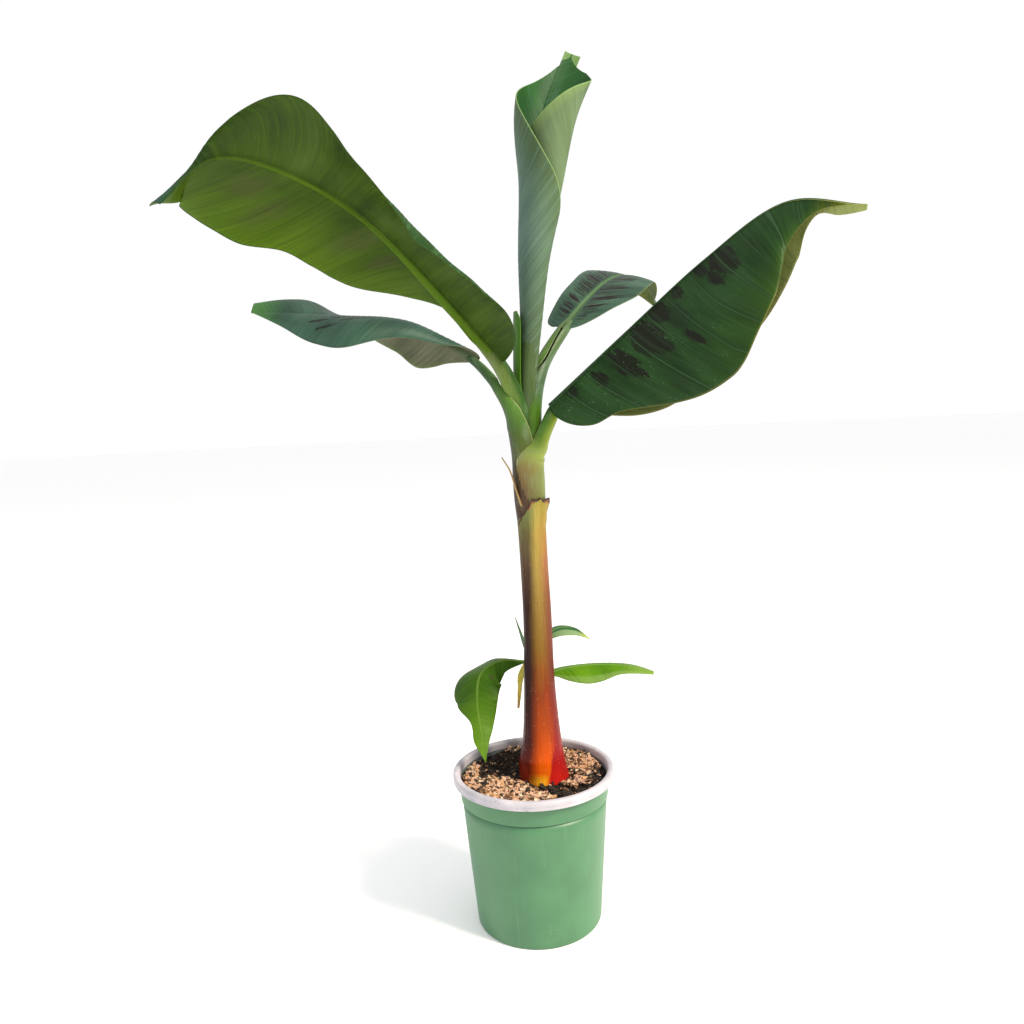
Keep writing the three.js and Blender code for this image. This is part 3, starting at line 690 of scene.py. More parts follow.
# Each stalk's middle line and radius from foot to top, where round it its two margins lie, and how thick its
# back is
STALKS = {
    "stalk_right": {
        "line": [(6.9, 4.2, 298), (6.7, 3.6, 312), (6.5, 2.6, 326), (6.4, 1.6, 338.5), (7.8, -0.3, 345.4),
                 (10.2, -1.8, 349.3), (13.5, -2.8, 352.5), (15.9, -3.4, 357.5), (19.3, -3, 363.9),
                 (23.2, -0.4, 371), (25.6, 2, 376), (28, 2.6, 380.5)],
        "radii": [10, 10.9, 11.2, 11.1, 10.9, 9.5, 7.7, 6.2, 5.4, 5.1, 4.4, 3],
        "from": [182, 188, 202, 218, 218, 219, 221, 218, 210, 202, 200, 200],
        "to": [480, 475, 470, 460, 455, 455, 455, 450, 445, 440, 440, 440],
        "thick": 1.6,
    },
    "stalk_left_low": {
        "line": [(6.5, 4.2, 298), (5.9, 3.4, 314), (5.6, 2.6, 330), (5.4, 1.6, 346), (3.9, 0.6, 361.8),
                 (2.4, 0, 368), (0.4, -0.8, 374.4), (-2.2, -1.6, 379.6), (-5.4, -1.8, 384.5), (-9, -0.8, 390),
                 (-11.8, 0.6, 394.5), (-14.6, 2, 399), (-19.2, 3.4, 404.5), (-25.3, 4, 411.3),
                 (-33, 4, 417.5)],
        "radii": [10, 10.8, 10.9, 10.8, 10.9, 10.5, 9.2, 8, 6.6, 5.7, 5.2, 4.8, 4.3, 3.8, 2.8],
        "from": [80, 80, 85, 90, 95, 100, 100, 100, 100, 100, 100, 100, 100, 100, 100],
        "to": [330, 325, 315, 305, 296, 294, 292, 294, 292, 290, 288, 300, 307, 306, 306],
        "thick": 1.5,
    },
    "stalk_left_high": {
        "line": [(6, 2.2, 330), (5.4, 1.8, 352), (4.2, 1.2, 370), (0.8, -0.6, 385), (-3.8, -5, 396),
                 (-8, -10, 404.5), (-13, -16, 412.5), (-19, -23.5, 420), (-26, -33, 428), (-33, -42.5, 436)],
        "radii": [8.6, 8.6, 8.3, 7.3, 6.4, 5.7, 5.2, 4.6, 3.6, 2],
        "from": [100, 100, 105, 110, 115, 115, 115, 115, 115, 115],
        "to": [330, 325, 320, 320, 325, 335, 340, 340, 340, 340],
        "thick": 1.8,
    },
    "stalk_back": {
        "line": [(7.5, 2, 345), (8, 2, 362), (9.4, 2.6, 378), (12.6, 4.4, 392), (16.6, 7.6, 403),
                 (20.8, 12, 412), (27.5, 18.5, 422.5), (36, 27, 434), (42, 34, 441)],
        "radii": [9, 9, 8.2, 7, 6, 5.4, 5, 4.6, 3.6],
        "from": [270, 265, 255, 234, 256, 282, 272, 258, 258],
        "to": [510, 515, 525, 554, 600, 627, 618, 598, 596],
        "thick": 2.2,
    },
}
STALK_ROWS = 130
STALK_COLUMNS = 56
STALK_MARGIN = 0.4
MOST_DEPTH = 0.7


def clasping_mesh(spec):
    """An open roll of sheath along a line, from one margin round its back to the other margin. A tuck draws
    the other margin in by that much, where it passes under the first."""
    t = np.linspace(0, 1, STALK_ROWS + 1)
    centre = through(spec["line"], t)
    ahead, above, left = directions(spec["line"], t, (0, 1, 0), reach=0.09)
    share, stage = np.meshgrid(np.linspace(0, 1, STALK_COLUMNS + 1), t)
    start, end = np.radians(through(spec["from"], stage)), np.radians(through(spec["to"], stage))
    turn = start + (end - start) * share
    radius = through(spec["radii"], stage) - spec.get("tuck", 0) * share
    ribs = 0.035 * np.sin(38 * turn) + 0.03 * np.sin(23 * turn + 1)
    ring = np.cos(turn)[..., None] * left[:, None] + np.sin(turn)[..., None] * above[:, None]
    places = centre[:, None] + (radius + ribs)[..., None] * ring
    along = np.concatenate([[0], np.cumsum(np.linalg.norm(np.diff(centre, axis=0), axis=1))])[:, None]
    depth = STALK_MARGIN + (spec["thick"] - STALK_MARGIN) * np.sin(np.pi * share)
    depth = np.minimum(depth, MOST_DEPTH * radius)
    points, faces, top = closed_sheet(places, 0 * depth, depth)
    maps = {
        "round": np.tile(np.stack([radius * turn, along + 0 * turn], -1).reshape(-1, 2), (2, 1)),
        "side": np.tile(np.stack([share, stage], -1).reshape(-1, 2), (2, 1)),
    }
    return points, faces, maps


def closed_sheet(places, upper, lower):
    """A closed skin that stands off a grid of places by `upper` on one face and by `lower` on the other.
    Its faces are listed with the upper face first, then the lower one and the rim."""
    rows, columns = places.shape[:2]
    normal = np.cross(np.gradient(places, axis=1), np.gradient(places, axis=0))
    normal /= np.maximum(np.linalg.norm(normal, axis=2), 1e-9)[..., None]
    points = np.concatenate([(places + normal * upper[..., None]).reshape(-1, 3),
                             (places - normal * lower[..., None]).reshape(-1, 3)])
    count = rows * columns
    index = np.arange(count).reshape(rows, columns)
    a, b = index[:-1, :-1].ravel(), index[:-1, 1:].ravel()
    c, d = index[1:, 1:].ravel(), index[1:, :-1].ravel()
    top = np.stack([a, b, c, d], 1)
    bottom = np.stack([a, d, c, b], 1) + count
    loop = np.concatenate([index[0, :-1], index[:-1, -1], index[-1, :0:-1], index[:0:-1, 0]])
    after = np.roll(loop, -1)
    rim = np.stack([loop, loop + count, after + count, after], 1)
    return points, [*top.tolist(), *bottom.tolist(), *rim.tolist()], len(top)


def stalk_skin(name, look):
    """Stalk tissue: taut and waxy, with fine parallel ribs, a faint bloom and a thread-like pale margin. Its
    colours run up the stalk, one set on the side of its first margin and one towards the other."""
    material, tree, shader = new_material(name, 0.4, IOR=1.45, Specular_IOR_Level=0.22)
    where = add(tree, "UVMap", uv_map="round").outputs[0]
    side = add(tree, "SeparateXYZ", {0: add(tree, "UVMap", uv_map="side").outputs[0]})
    ramps = []
    for codes in (look["first"], look["second"]):
        stops = [(i / (len(codes) - 1), code) for i, code in enumerate(codes)]
        ramps.append(add(tree, "ValToRGB", {"Fac": side.outputs[1]}, stops).outputs["Color"])
    wide = add(tree, "Mapping", {"Vector": where, "Scale": (1 / 6.25, 1 / 20, 1)}).outputs[0]
    cloud = add(tree, "TexNoise", {"Vector": wide, "Scale": 1.0, "Detail": 4.0}).outputs["Fac"]
    wander = add(tree, "MapRange", {"Value": cloud, "To Min": -0.08, "To Max": 0.08}).outputs[0]
    across = add(tree, "Math", {0: side.outputs[0], 1: wander}, operation="ADD").outputs[0]
    beyond = add(tree, "MapRange", {"Value": across, "From Min": look["turns"][0],
                                    "From Max": look["turns"][1]}).outputs[0]
    body = add(tree, "Mix", {0: beyond, 6: ramps[0], 7: ramps[1]}, data_type="RGBA").outputs[2]
    fine = add(tree, "Mapping", {"Vector": where, "Scale": (1 / 0.526, 1 / 20, 1)}).outputs[0]
    ribs = add(tree, "TexNoise", {"Vector": fine, "Scale": 1.0, "Detail": 3.0}).outputs["Fac"]
    ribbed = add(tree, "MapRange", {"Value": ribs, "From Min": 0.35, "From Max": 0.7, "To Min": 0.84,
                                    "To Max": 1.16}).outputs[0]
    lined = add(tree, "VectorMath", {0: body, 3: ribbed}, operation="SCALE").outputs[0]
    bloom = add(tree, "MapRange", {"Value": cloud, "From Min": 0.5, "From Max": 0.8,
                                   "To Max": look.get("bloom", 0.3)}).outputs[0]
    waxed = add(tree, "Mix", {0: bloom, 6: lined, 7: colour("#7f9478")}, data_type="RGBA").outputs[2]
    centred = add(tree, "Math", {0: side.outputs[0], 1: 0.5}, operation="SUBTRACT").outputs[0]
    out = add(tree, "Math", {0: centred}, operation="ABSOLUTE").outputs[0]
    seam = add(tree, "MapRange", {"Value": out, "From Min": 0.455, "From Max": 0.475,
                                  "To Max": look["seam_amount"]}).outputs[0]
    seamed = add(tree, "Mix", {0: seam, 6: waxed, 7: colour(look["seam"])}, data_type="RGBA").outputs[2]
    margin = add(tree, "MapRange", {"Value": out, "From Min": 0.484, "From Max": 0.49}).outputs[0]
    edged = add(tree, "Mix", {0: margin, 6: seamed, 7: colour(look["margin"])}, data_type="RGBA").outputs[2]
    tree.links.new(edged, shader.inputs["Base Color"])
    bump = add(tree, "Bump", {"Height": ribs, "Strength": 0.3, "Distance": 0.0004}).outputs["Normal"]
    tree.links.new(bump, shader.inputs["Normal"])
    return material


STALK_LOOKS = {
    "stalk_right": dict(
        first=("#563f2e", "#604a31", "#746438", "#7a8041", "#70843a", "#4a661c", "#3c631b", "#2a4e13",
               "#264a0f"),
        second=("#566331", "#76803d", "#838f44", "#8d9948", "#899739", "#859331", "#7d8f2a", "#768a26",
                "#657b1e"),
        turns=(0.2, 0.5), seam="#576831", seam_amount=0.4, margin="#b3ab85"),
    # Painted shade: both sets start dark maroon-brown at the foot, carrying on the shade painted on the
    # stem's left, and the first set, for the far side round the back and left, is a darker bluish green as
    # shade
    "stalk_left_low": dict(
        first=("#311c18", "#312118", "#313724", "#394f36", "#394d35", "#334531", "#344834", "#304636",
               "#2a4030"),
        second=("#462d22", "#4e3e25", "#485622", "#446424", "#486b25", "#446425", "#395622", "#2e4822",
                "#263e25"),
        turns=(0.45, 0.72), seam="#39561f", seam_amount=0.4, margin="#808652"),
    "stalk_left_high": dict(
        first=("#405b26", "#4d6826", "#5b762d", "#607830", "#586a24", "#4a5a18", "#465c14", "#47640f"),
        second=("#32541a", "#2c5116", "#284a16", "#254313", "#254013", "#2c4716", "#405b1a", "#516f1d"),
        turns=(0.62, 0.86), seam="#254013", seam_amount=0.3, margin="#405b26"),
    "stalk_back": dict(
        first=("#36570f", "#36570c", "#38580f", "#2f4a2c", "#3a5030", "#435a3e", "#3f572c", "#415735",
               "#445a38"),
        second=("#3d5e09", "#3d6106", "#446709", "#36501a", "#3c5620", "#446121", "#446124", "#476132",
                "#486138"),
        turns=(0.4, 0.7), seam="#2c3c1b", seam_amount=0.5, margin="#566640"),
}


def sheath_piece(name, spec, skin_name, look):
    """The finished piece of one stalk or sheath, in its own skin."""
    places, faces, maps = clasping_mesh(spec)
    return make_piece(name, places, faces, [stalk_skin(skin_name, look)], maps=maps)


for name, spec in STALKS.items():
    piece = sheath_piece(name + "_clasping", spec, name + "_skin", STALK_LOOKS[name])
    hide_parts(name)


# Open leaves
# Each leaf is one blade about half a millimetre thick, on a midrib that is a rounded ridge below and a
# shallow groove above. Side veins run out from the midrib a few millimetres apart, bend forward near the
# margin and show as fine pleats. The upper face is dark and satin, the lower face paler and matt with wax.

# Each leaf's midrib from foot to tip, then for its left and its right half the width and, in degrees, how far
# it is folded up from level beside the midrib and how much further it curls up on its way to the margin. The
# midrib has its half width, and the margin the height of its waves.
LEAVES = {
    "leaf_right": {
        "rib": [(22, -2, 381), (73, -40, 425.5), (116, -78, 462), (153, -112, 484.5), (187, -142, 474)],
        "left": {"width": [12, 29, 47, 57, 60, 62, 60, 55, 49, 42, 35, 27, 9, 7, 3],
                 "fold": [-60, -65, -60, -60, -70], "curl": [-20, -30, -30, -20, -10]},
        "right": {"width": [20, 36, 43, 56, 69, 79, 84, 82, 70, 60, 48, 29, 9, 2, 0],
                  "fold": [-80, -66, -60, -60, -70], "curl": [-10, -20, -20, -20, -20]},
        "midrib": [3.2, 2.6, 2.1, 1.5, 0.7],
        "wave": 0.5, "rows": 230,
    },
    "leaf_left_high": {
        "rib": [(-12, -16, 411), (-48, -62, 453), (-82, -108, 487), (-115, -150, 502), (-143, -176, 502),
                (-166, -187, 479)],
        "left": {"width": [12, 36, 47, 47, 45, 51, 57, 55, 53, 58, 57, 35, 6, 1, 0],
                 "fold": [26, 25, 19, 14, 23, 28, 22, 1], "curl": [-60, -70, -80, -55, -25, -60]},
        "right": {"width": [3, 1, 3, 19, 34, 39, 40, 42, 53, 59, 66, 71, 67, 47, 20],
                  "fold": [30, 6, -22, -38, -22, -4, 10, 22], "curl": [-10, -20, -20, -20, -20, -20]},
        "midrib": [5, 3.8, 2.9, 2, 1.2, 0.6],
        "wave": 0.4, "rows": 240,
    },
    "leaf_left_low": {
        "rib": [(-25, 4, 414.6), (-48, 4, 427), (-76, 3, 439), (-113, 2, 448), (-148, 0, 452),
                (-182, -2, 454)],
        "left": {"width": [4, 14, 25, 37, 48, 36, 17, 0], "fold": [50, 50, 40, 5, -20, -30],
                 "curl": [-20, -120, -120, -80, -50, -20]},
        "right": {"width": [3, 12, 24, 20, 22, 28, 20, 12], "fold": [-40, -70, -50, 0, 40, 50],
                  "curl": [-30, -30, -30, -20, -20]},
        "midrib": [3.2, 2.4, 1.9, 1.4, 0.9, 0.5],
        "wave": 0.3, "rows": 190,
    },
    "leaf_back": {
        "rib": [(37, 28, 437), (57, 50, 459), (76, 72, 476), (94, 92, 483), (113, 110, 475), (128, 122, 456)],
        "left": {"width": [17, 20, 22, 25, 26, 22, 10, 0], "fold": [20, 35, 32, 24, 10, 0],
                 "curl": [-20, -20, -20, -30, -30]},
        "right": {"width": [6, 22, 34, 34, 31, 28, 14, 0], "fold": [-20, -8, -8, -10, -30, -40],
                  "curl": [-20, -20, -20, -30, -30]},
        "midrib": [3.6, 2.6, 2, 1.5, 1, 0.5],
        "wave": 0.3, "rows": 170,
    },
}
NARROWEST = 0.5
BASE_ROUNDING = 0.014
BASE_NARROWING = 0.45
BLADE_THICKNESS = 0.6
VEIN_SPACING = 4.2
VEIN_LEAN = 0.28
VEIN_BEND = 0.22
PLEAT_DEPTH = 0.11
PLEATS_FROM = 8
WAVES_FROM = 20
WAVE_LENGTHS = (9.5, 5.1)
# The groove's depth and half width are shares of the midrib's half width, and the ridge rises from the
# leaf's foot over a share of its length
GROOVE_DEPTH = 0.3
GROOVE_WIDTH = 0.55
RIDGE_RISE = 0.08
LEAF_COLUMNS = 30


def blade_grid(spec, rows, columns):
    """The places of one blade from its left margin to its right one, with what each place is to the leaf."""
    t = np.linspace(0, 1, rows + 1)
    foot = through(spec["rib"], t)
    ahead, above, left = directions(spec["rib"], t, (0, 0, 1))
    steps = np.linalg.norm(np.diff(foot, axis=0), axis=1)
    along = np.concatenate([[0], np.cumsum(steps)])
    # The columns crowd together towards the midrib, where the blade bends most
    shares = (np.arange(columns + 1) / columns) ** 1.5
    middle = (shares[1:] + shares[:-1]) / 2
    rounded = 1 - BASE_NARROWING * np.exp(-t / BASE_ROUNDING)
    sides = []
    for half, sign in ((spec["left"], 1), (spec["right"], -1)):
        width = np.maximum(through(half["width"], t), NARROWEST) * rounded
        turn = np.radians(through(half["fold"], t)[:, None] + through(half["curl"], t)[:, None] * middle)
        move = sign * np.cos(turn)[..., None] * left[:, None] + np.sin(turn)[..., None] * above[:, None]
        move *= (width[:, None] * np.diff(shares))[..., None]
        sides.append((foot[:, None] + np.cumsum(move, axis=1), sign * width[:, None] * shares[1:]))
    places = np.concatenate([sides[0][0][:, ::-1], foot[:, None], sides[1][0]], axis=1)
    across = np.concatenate([sides[0][1][:, ::-1], np.zeros((rows + 1, 1)), sides[1][1]], axis=1)
    out = np.concatenate([shares[:0:-1], [0], -shares[1:]])[None] + 0 * across
    return places, along[:, None] + 0 * across, across, t[:, None] + 0 * across, out


def leaf_maps(veins, across, t, out, rib, along):
    """What the leaf's faces are painted by: its place among the veins, its share of the blade, its ribs."""
    pairs = {"veins": (veins, across), "share": (t, out), "ribs": (across / rib, along)}
    return {name: np.tile(np.stack(pair, -1).reshape(-1, 2), (2, 1)) for name, pair in pairs.items()}


def leaf_mesh(spec):
    """The fine blade: pleated along its side veins, with the midrib's ridge below and its groove above."""
    places, along, across, t, out = blade_grid(spec, spec["rows"], spec.get("columns", LEAF_COLUMNS))
    lean = np.abs(across)
    veins = along - VEIN_LEAN * lean - VEIN_BEND * lean * np.abs(out)
    rib = through(spec["midrib"], t)
    ridge = rib * np.sqrt(np.clip(1 - (across / rib) ** 2, 0, 1)) * np.clip(t / RIDGE_RISE, 0, 1) ** 0.7
    groove = GROOVE_DEPTH * rib * np.exp(-(across / (GROOVE_WIDTH * rib)) ** 2)
    pleat = PLEAT_DEPTH * np.sin(2 * np.pi * veins / VEIN_SPACING) * np.clip(lean / PLEATS_FROM, 0, 1)
    pleat = pleat * (1 - np.abs(out) ** 6)
    wave = spec["wave"] * np.abs(out) ** 3 * np.clip(lean / WAVES_FROM, 0, 1)
    wave = wave * (np.sin(veins / WAVE_LENGTHS[0]) + 0.6 * np.sin(veins / WAVE_LENGTHS[1] + out * 2))
    thin = BLADE_THICKNESS / 2 * (1 - 0.5 * np.abs(out) ** 8)
    points, faces, top = closed_sheet(places, thin - groove + pleat + wave, thin + ridge - pleat - wave)
    return points, faces, top, leaf_maps(veins, across, t, out, rib, along)


def dark_streaks(tree, look, veins, share, out, rib):
    """How far dark blotches cover a place: patches cut into frayed strips that run along the veins, and that
    keep off the margin, the midrib and both ends of the blade."""
    place = add(tree, "SeparateXYZ", {0: veins})
    torn = add(tree, "Mapping", {"Vector": veins, "Scale": (1 / 1.11, 1 / 20, 1)}).outputs[0]
    fray = add(tree, "TexNoise", {"Vector": torn, "Scale": 1.0, "Detail": 2.0}).outputs["Fac"]
    frayed = add(tree, "MapRange", {"Value": fray, "To Min": -1.6, "To Max": 1.6}).outputs[0]
    strip = add(tree, "Math", {0: place.outputs[0], 1: look["strip_width"]}, operation="SNAP").outputs[0]
    strip = add(tree, "Math", {0: strip, 1: frayed}, operation="ADD").outputs[0]
    strips = add(tree, "CombineXYZ", {0: strip, 1: place.outputs[1]}).outputs[0]
    patches = [1 / size for size in look["patch_size"]]
    patches = add(tree, "Mapping", {"Vector": strips, "Scale": (*patches, 1)}).outputs[0]
    dark = add(tree, "TexNoise", {"Vector": patches, "Scale": 1.0, "Detail": 4.5,
                                  "Roughness": 0.62}).outputs["Fac"]
    base, tip = look["blotch_span"]
    fades = [
        (out, look["blotch_from"], look["blotch_to"]),
        (share.outputs[0], tip - 0.08, tip + 0.08),
        (share.outputs[0], base + 0.04, base - 0.04),
    ]
    for value, low, high in fades:
        less = add(tree, "MapRange", {"Value": value, "From Min": low, "From Max": high,
                                      "To Max": 0.2}).outputs[0]
        dark = add(tree, "Math", {0: dark, 1: less}, operation="SUBTRACT").outputs[0]
    blot = add(tree, "MapRange", {"Value": dark, "From Min": look["blotch_level"],
                                  "From Max": look["blotch_level"] + 0.035}).outputs[0]
    clear = add(tree, "MapRange", {"Value": rib, "From Min": 1.0, "From Max": 1.5}).outputs[0]
    return add(tree, "Math", {0: blot, 1: clear}, operation="MULTIPLY").outputs[0]


def ragged_spots(tree, look, veins):
    """How far dark spots cover a place. Each is a ragged oval, given by where it lies along the veins and
    across them, and by half its size each way in millimetres."""
    ragged = add(tree, "Mapping", {"Vector": veins, "Scale": (1 / 3.33, 1 / 14.3, 1)}).outputs[0]
    ragged = add(tree, "TexNoise", {"Vector": ragged, "Scale": 1.0, "Detail": 4.0,
                                    "Roughness": 0.7}).outputs["Fac"]
    nearest = add(tree, "MapRange", {"Value": ragged, "From Min": 0.3, "From Max": 0.7, "To Min": 1.7,
                                     "To Max": 3.0}).outputs[0]
    uneven = add(tree, "MapRange", {"Value": ragged, "From Min": 0.3, "From Max": 0.7, "To Min": -0.5,
                                    "To Max": 0.5}).outputs[0]
    for vein, across, half_width, half_length in look["spots"]:
        centred = add(tree, "VectorMath", {0: veins, 1: (vein, across, 0)}, operation="SUBTRACT").outputs[0]
        sized = add(tree, "VectorMath", {0: centred, 1: (half_width, half_length, 1)},
                    operation="DIVIDE").outputs[0]
        off = add(tree, "VectorMath", {0: sized}, operation="LENGTH").outputs["Value"]
        off = add(tree, "Math", {0: off, 1: uneven}, operation="ADD").outputs[0]
        nearest = add(tree, "Math", {0: nearest, 1: off}, operation="MINIMUM").outputs[0]
    softness = look["spot_softness"]
    return add(tree, "MapRange", {"Value": nearest, "From Min": 1 + softness, "From Max": 1 - softness,
                                  "To Max": look["spot_amount"]}).outputs[0]


def clinging_dust(tree, look, veins, share, cloud):
    """How far pale specks of dust cover a place: they gather in drifts on the lower part of the blade."""
    specks = add(tree, "Mapping", {"Vector": veins, "Scale": (1 / 2, 1 / 3.33, 1)}).outputs[0]
    speck = add(tree, "TexVoronoi", {"Vector": specks, "Scale": 1.0}).outputs["Distance"]
    speck = add(tree, "MapRange", {"Value": speck, "From Min": 0.16, "From Max": 0.06}).outputs[0]
    drift = add(tree, "MapRange", {"Value": cloud, "From Min": 0.5, "From Max": 0.58}).outputs[0]
    low_part = add(tree, "MapRange", {"Value": share.outputs[0], "From Min": look["dust_to"] + 0.1,
                                      "From Max": look["dust_to"], "To Max": 0.6}).outputs[0]
    speck = add(tree, "Math", {0: speck, 1: drift}, operation="MULTIPLY").outputs[0]
    return add(tree, "Math", {0: speck, 1: low_part}, operation="MULTIPLY").outputs[0]


def leaf_face(name, look):
    """One face of a leaf: waxy tissue that shines softly and lets a little light through. Side veins are
    lines across the blade, the margin is a pale thread, and the midrib is a smooth pale band that narrows to
    the tip. Amounts are shares from 0 to 1, and places are shares of the blade's length or half width."""
    material, tree, shader = new_material(name, look["roughness"], IOR=1.42,
                                          Specular_IOR_Level=look.get("gloss", 0.15))
    veins = add(tree, "UVMap", uv_map="veins").outputs[0]
    share = add(tree, "SeparateXYZ", {0: add(tree, "UVMap", uv_map="share").outputs[0]})
    ribs = add(tree, "SeparateXYZ", {0: add(tree, "UVMap", uv_map="ribs").outputs[0]})
    out = add(tree, "Math", {0: share.outputs[1]}, operation="ABSOLUTE").outputs[0]
    rib = add(tree, "Math", {0: ribs.outputs[0]}, operation="ABSOLUTE").outputs[0]
    broad = add(tree, "Mapping", {"Vector": veins, "Scale": (1 / 22.2, 1 / 50, 1)}).outputs[0]
    cloud = add(tree, "TexNoise", {"Vector": broad, "Scale": 1.0, "Detail": 3.0}).outputs["Fac"]
    stops = [(0.3 + 0.4 * i / (len(look["body"]) - 1), code) for i, code in enumerate(look["body"])]
    shade = add(tree, "ValToRGB", {"Fac": cloud}, stops).outputs["Color"]
    toward = add(tree, "MapRange", {"Value": share.outputs[1], "From Min": look["edge_from"],
                                    "From Max": look["edge_to"], "To Max": look["edge_amount"]}).outputs[0]
    if "edge_span" in look:
        span = add(tree, "MapRange", {"Value": share.outputs[0], "From Min": look["edge_span"][0],
                                      "From Max": look["edge_span"][1]}).outputs[0]
        toward = add(tree, "Math", {0: toward, 1: span}, operation="MULTIPLY").outputs[0]
    shade = add(tree, "Mix", {0: toward, 6: shade, 7: colour(look["edge"])}, data_type="RGBA").outputs[2]
    if "base" in look:
        at_base = add(tree, "MapRange", {"Value": share.outputs[0], "From Min": look["base_to"],
                                         "From Max": 0.0, "To Max": 0.95}).outputs[0]
        shade = add(tree, "Mix", {0: at_base, 6: shade, 7: colour(look["base"])}, data_type="RGBA").outputs[2]
    at_tip = add(tree, "MapRange", {"Value": share.outputs[0], "From Min": look["tip_from"],
                                    "To Max": look["tip_amount"]}).outputs[0]
    if "tip_side" in look:
        one_side = add(tree, "MapRange", {"Value": share.outputs[1], "From Min": -0.1 * look["tip_side"],
                                          "From Max": 0.1 * look["tip_side"]}).outputs[0]
        at_tip = add(tree, "Math", {0: at_tip, 1: one_side}, operation="MULTIPLY").outputs[0]
    shade = add(tree, "Mix", {0: at_tip, 6: shade, 7: colour(look["tip"])}, data_type="RGBA").outputs[2]
    if "blotch" in look:
        blot = dark_streaks(tree, look, veins, share, out, rib)
        shade = add(tree, "Mix", {0: blot, 6: shade, 7: colour(look["blotch"])}, data_type="RGBA").outputs[2]
    if "spots" in look:
        spotted = ragged_spots(tree, look, veins)
        shade = add(tree, "Mix", {0: spotted, 6: shade, 7: colour(look["spot"])}, data_type="RGBA").outputs[2]
    if "dust_to" in look:
        dusted = clinging_dust(tree, look, veins, share, cloud)
        shade = add(tree, "Mix", {0: dusted, 6: shade, 7: colour("#93a594")}, data_type="RGBA").outputs[2]

    # Fine veins about a millimetre apart, then the stronger ones, drawn as thin as still shows
    fine = add(tree, "Mapping", {"Vector": veins, "Scale": (1 / 1.053, 1 / 83.3, 1)}).outputs[0]
    lines = add(tree, "TexNoise", {"Vector": fine, "Scale": 1.0, "Detail": 3.0,
                                   "Roughness": 0.65}).outputs["Fac"]
    strength = look["vein_strength"]
    lined = add(tree, "MapRange", {"Value": lines, "From Min": 0.34, "From Max": 0.68, "To Min": 1 - strength,
                                   "To Max": 1 + strength}).outputs[0]
    shade = add(tree, "VectorMath", {0: shade, 3: lined}, operation="SCALE").outputs[0]
    strong = add(tree, "Mapping", {"Vector": veins, "Scale": (1 / 10, 1 / 250, 1)}).outputs[0]
    main = add(tree, "TexNoise", {"Vector": strong, "Scale": 1.0, "Detail": 1.0}).outputs["Fac"]
    ridge = add(tree, "MapRange", {"Value": main, "From Min": 0.5, "From Max": 0.53}).outputs[0]
    ridge_end = add(tree, "MapRange", {"Value": main, "From Min": 0.56, "From Max": 0.53}).outputs[0]
    main_vein = add(tree, "Math", {0: ridge, 1: ridge_end}, operation="MULTIPLY").outputs[0]
    main_vein = add(tree, "Math", {0: main_vein, 1: look["main_vein"]}, operation="MULTIPLY").outputs[0]
    shade = add(tree, "Mix", {0: main_vein, 6: shade, 7: colour(look["rib"])}, data_type="RGBA").outputs[2]

    # Cords are the few thickest side veins, each a pale line in a dark furrow
    if "cord" in look:
        place = add(tree, "SeparateXYZ", {0: veins}).outputs[0]
        sway = add(tree, "MapRange", {"Value": main, "To Min": -6.0, "To Max": 6.0}).outputs[0]
        swayed = add(tree, "Math", {0: place, 1: sway}, operation="ADD").outputs[0]
        to_cord = add(tree, "Math", {0: swayed, 1: look["cord_spacing"] / 2}, operation="PINGPONG").outputs[0]
        furrow = add(tree, "MapRange", {"Value": to_cord, "From Min": 2.2, "From Max": 0.6,
                                        "To Max": 0.8 * look["cord"]}).outputs[0]
        shade = add(tree, "Mix", {0: furrow, 6: shade, 7: colour(look["body"][0])},
                    data_type="RGBA").outputs[2]
        pale = add(tree, "MapRange", {"Value": to_cord, "From Min": 0.5, "From Max": 0.15,
                                      "To Max": look["cord"]}).outputs[0]
        shade = add(tree, "Mix", {0: pale, 6: shade, 7: colour(look["rib"])}, data_type="RGBA").outputs[2]

    on_rib = add(tree, "MapRange", {"Value": rib, "From Min": look["rib_width"] + 0.25,
                                    "From Max": look["rib_width"], "To Max": look["rib_amount"]}).outputs[0]
    fading = add(tree, "MapRange", {"Value": share.outputs[0], "From Min": 1.0, "From Max": 0.5}).outputs[0]
    on_rib = add(tree, "Math", {0: on_rib, 1: fading}, operation="MULTIPLY").outputs[0]
    shade = add(tree, "Mix", {0: on_rib, 6: shade, 7: colour(look["rib"])}, data_type="RGBA").outputs[2]
    at_margin = add(tree, "MapRange", {"Value": out, "From Min": 0.984, "From Max": 0.992,
                                       "To Max": look["margin_amount"]}).outputs[0]
    shade = add(tree, "Mix", {0: at_margin, 6: shade, 7: colour(look["margin"])}, data_type="RGBA").outputs[2]
    tree.links.new(shade, shader.inputs["Base Color"])

    shine = add(tree, "MapRange", {"Value": lines, "To Min": look["roughness"] - 0.1,
                                   "To Max": look["roughness"] + 0.12}).outputs[0]
    tree.links.new(shine, shader.inputs["Roughness"])
    relief = add(tree, "Math", {0: lines, 1: main}, operation="ADD").outputs[0]
    bump = add(tree, "Bump", {"Height": relief, "Strength": 0.35, "Distance": 0.0006}).outputs["Normal"]
    tree.links.new(bump, shader.inputs["Normal"])
    glow = add(tree, "Mix", {0: 0.55, 6: shade, 7: colour(look["glow"])}, data_type="RGBA").outputs[2]
    through_light = add(tree, "BsdfTranslucent", {"Color": glow})
    both = add(tree, "MixShader", {0: look["see_through"], 1: shader.outputs[0], 2: through_light.outputs[0]})
    tree.links.new(both.outputs[0], tree.nodes["Material Output"].inputs["Surface"])
    return material


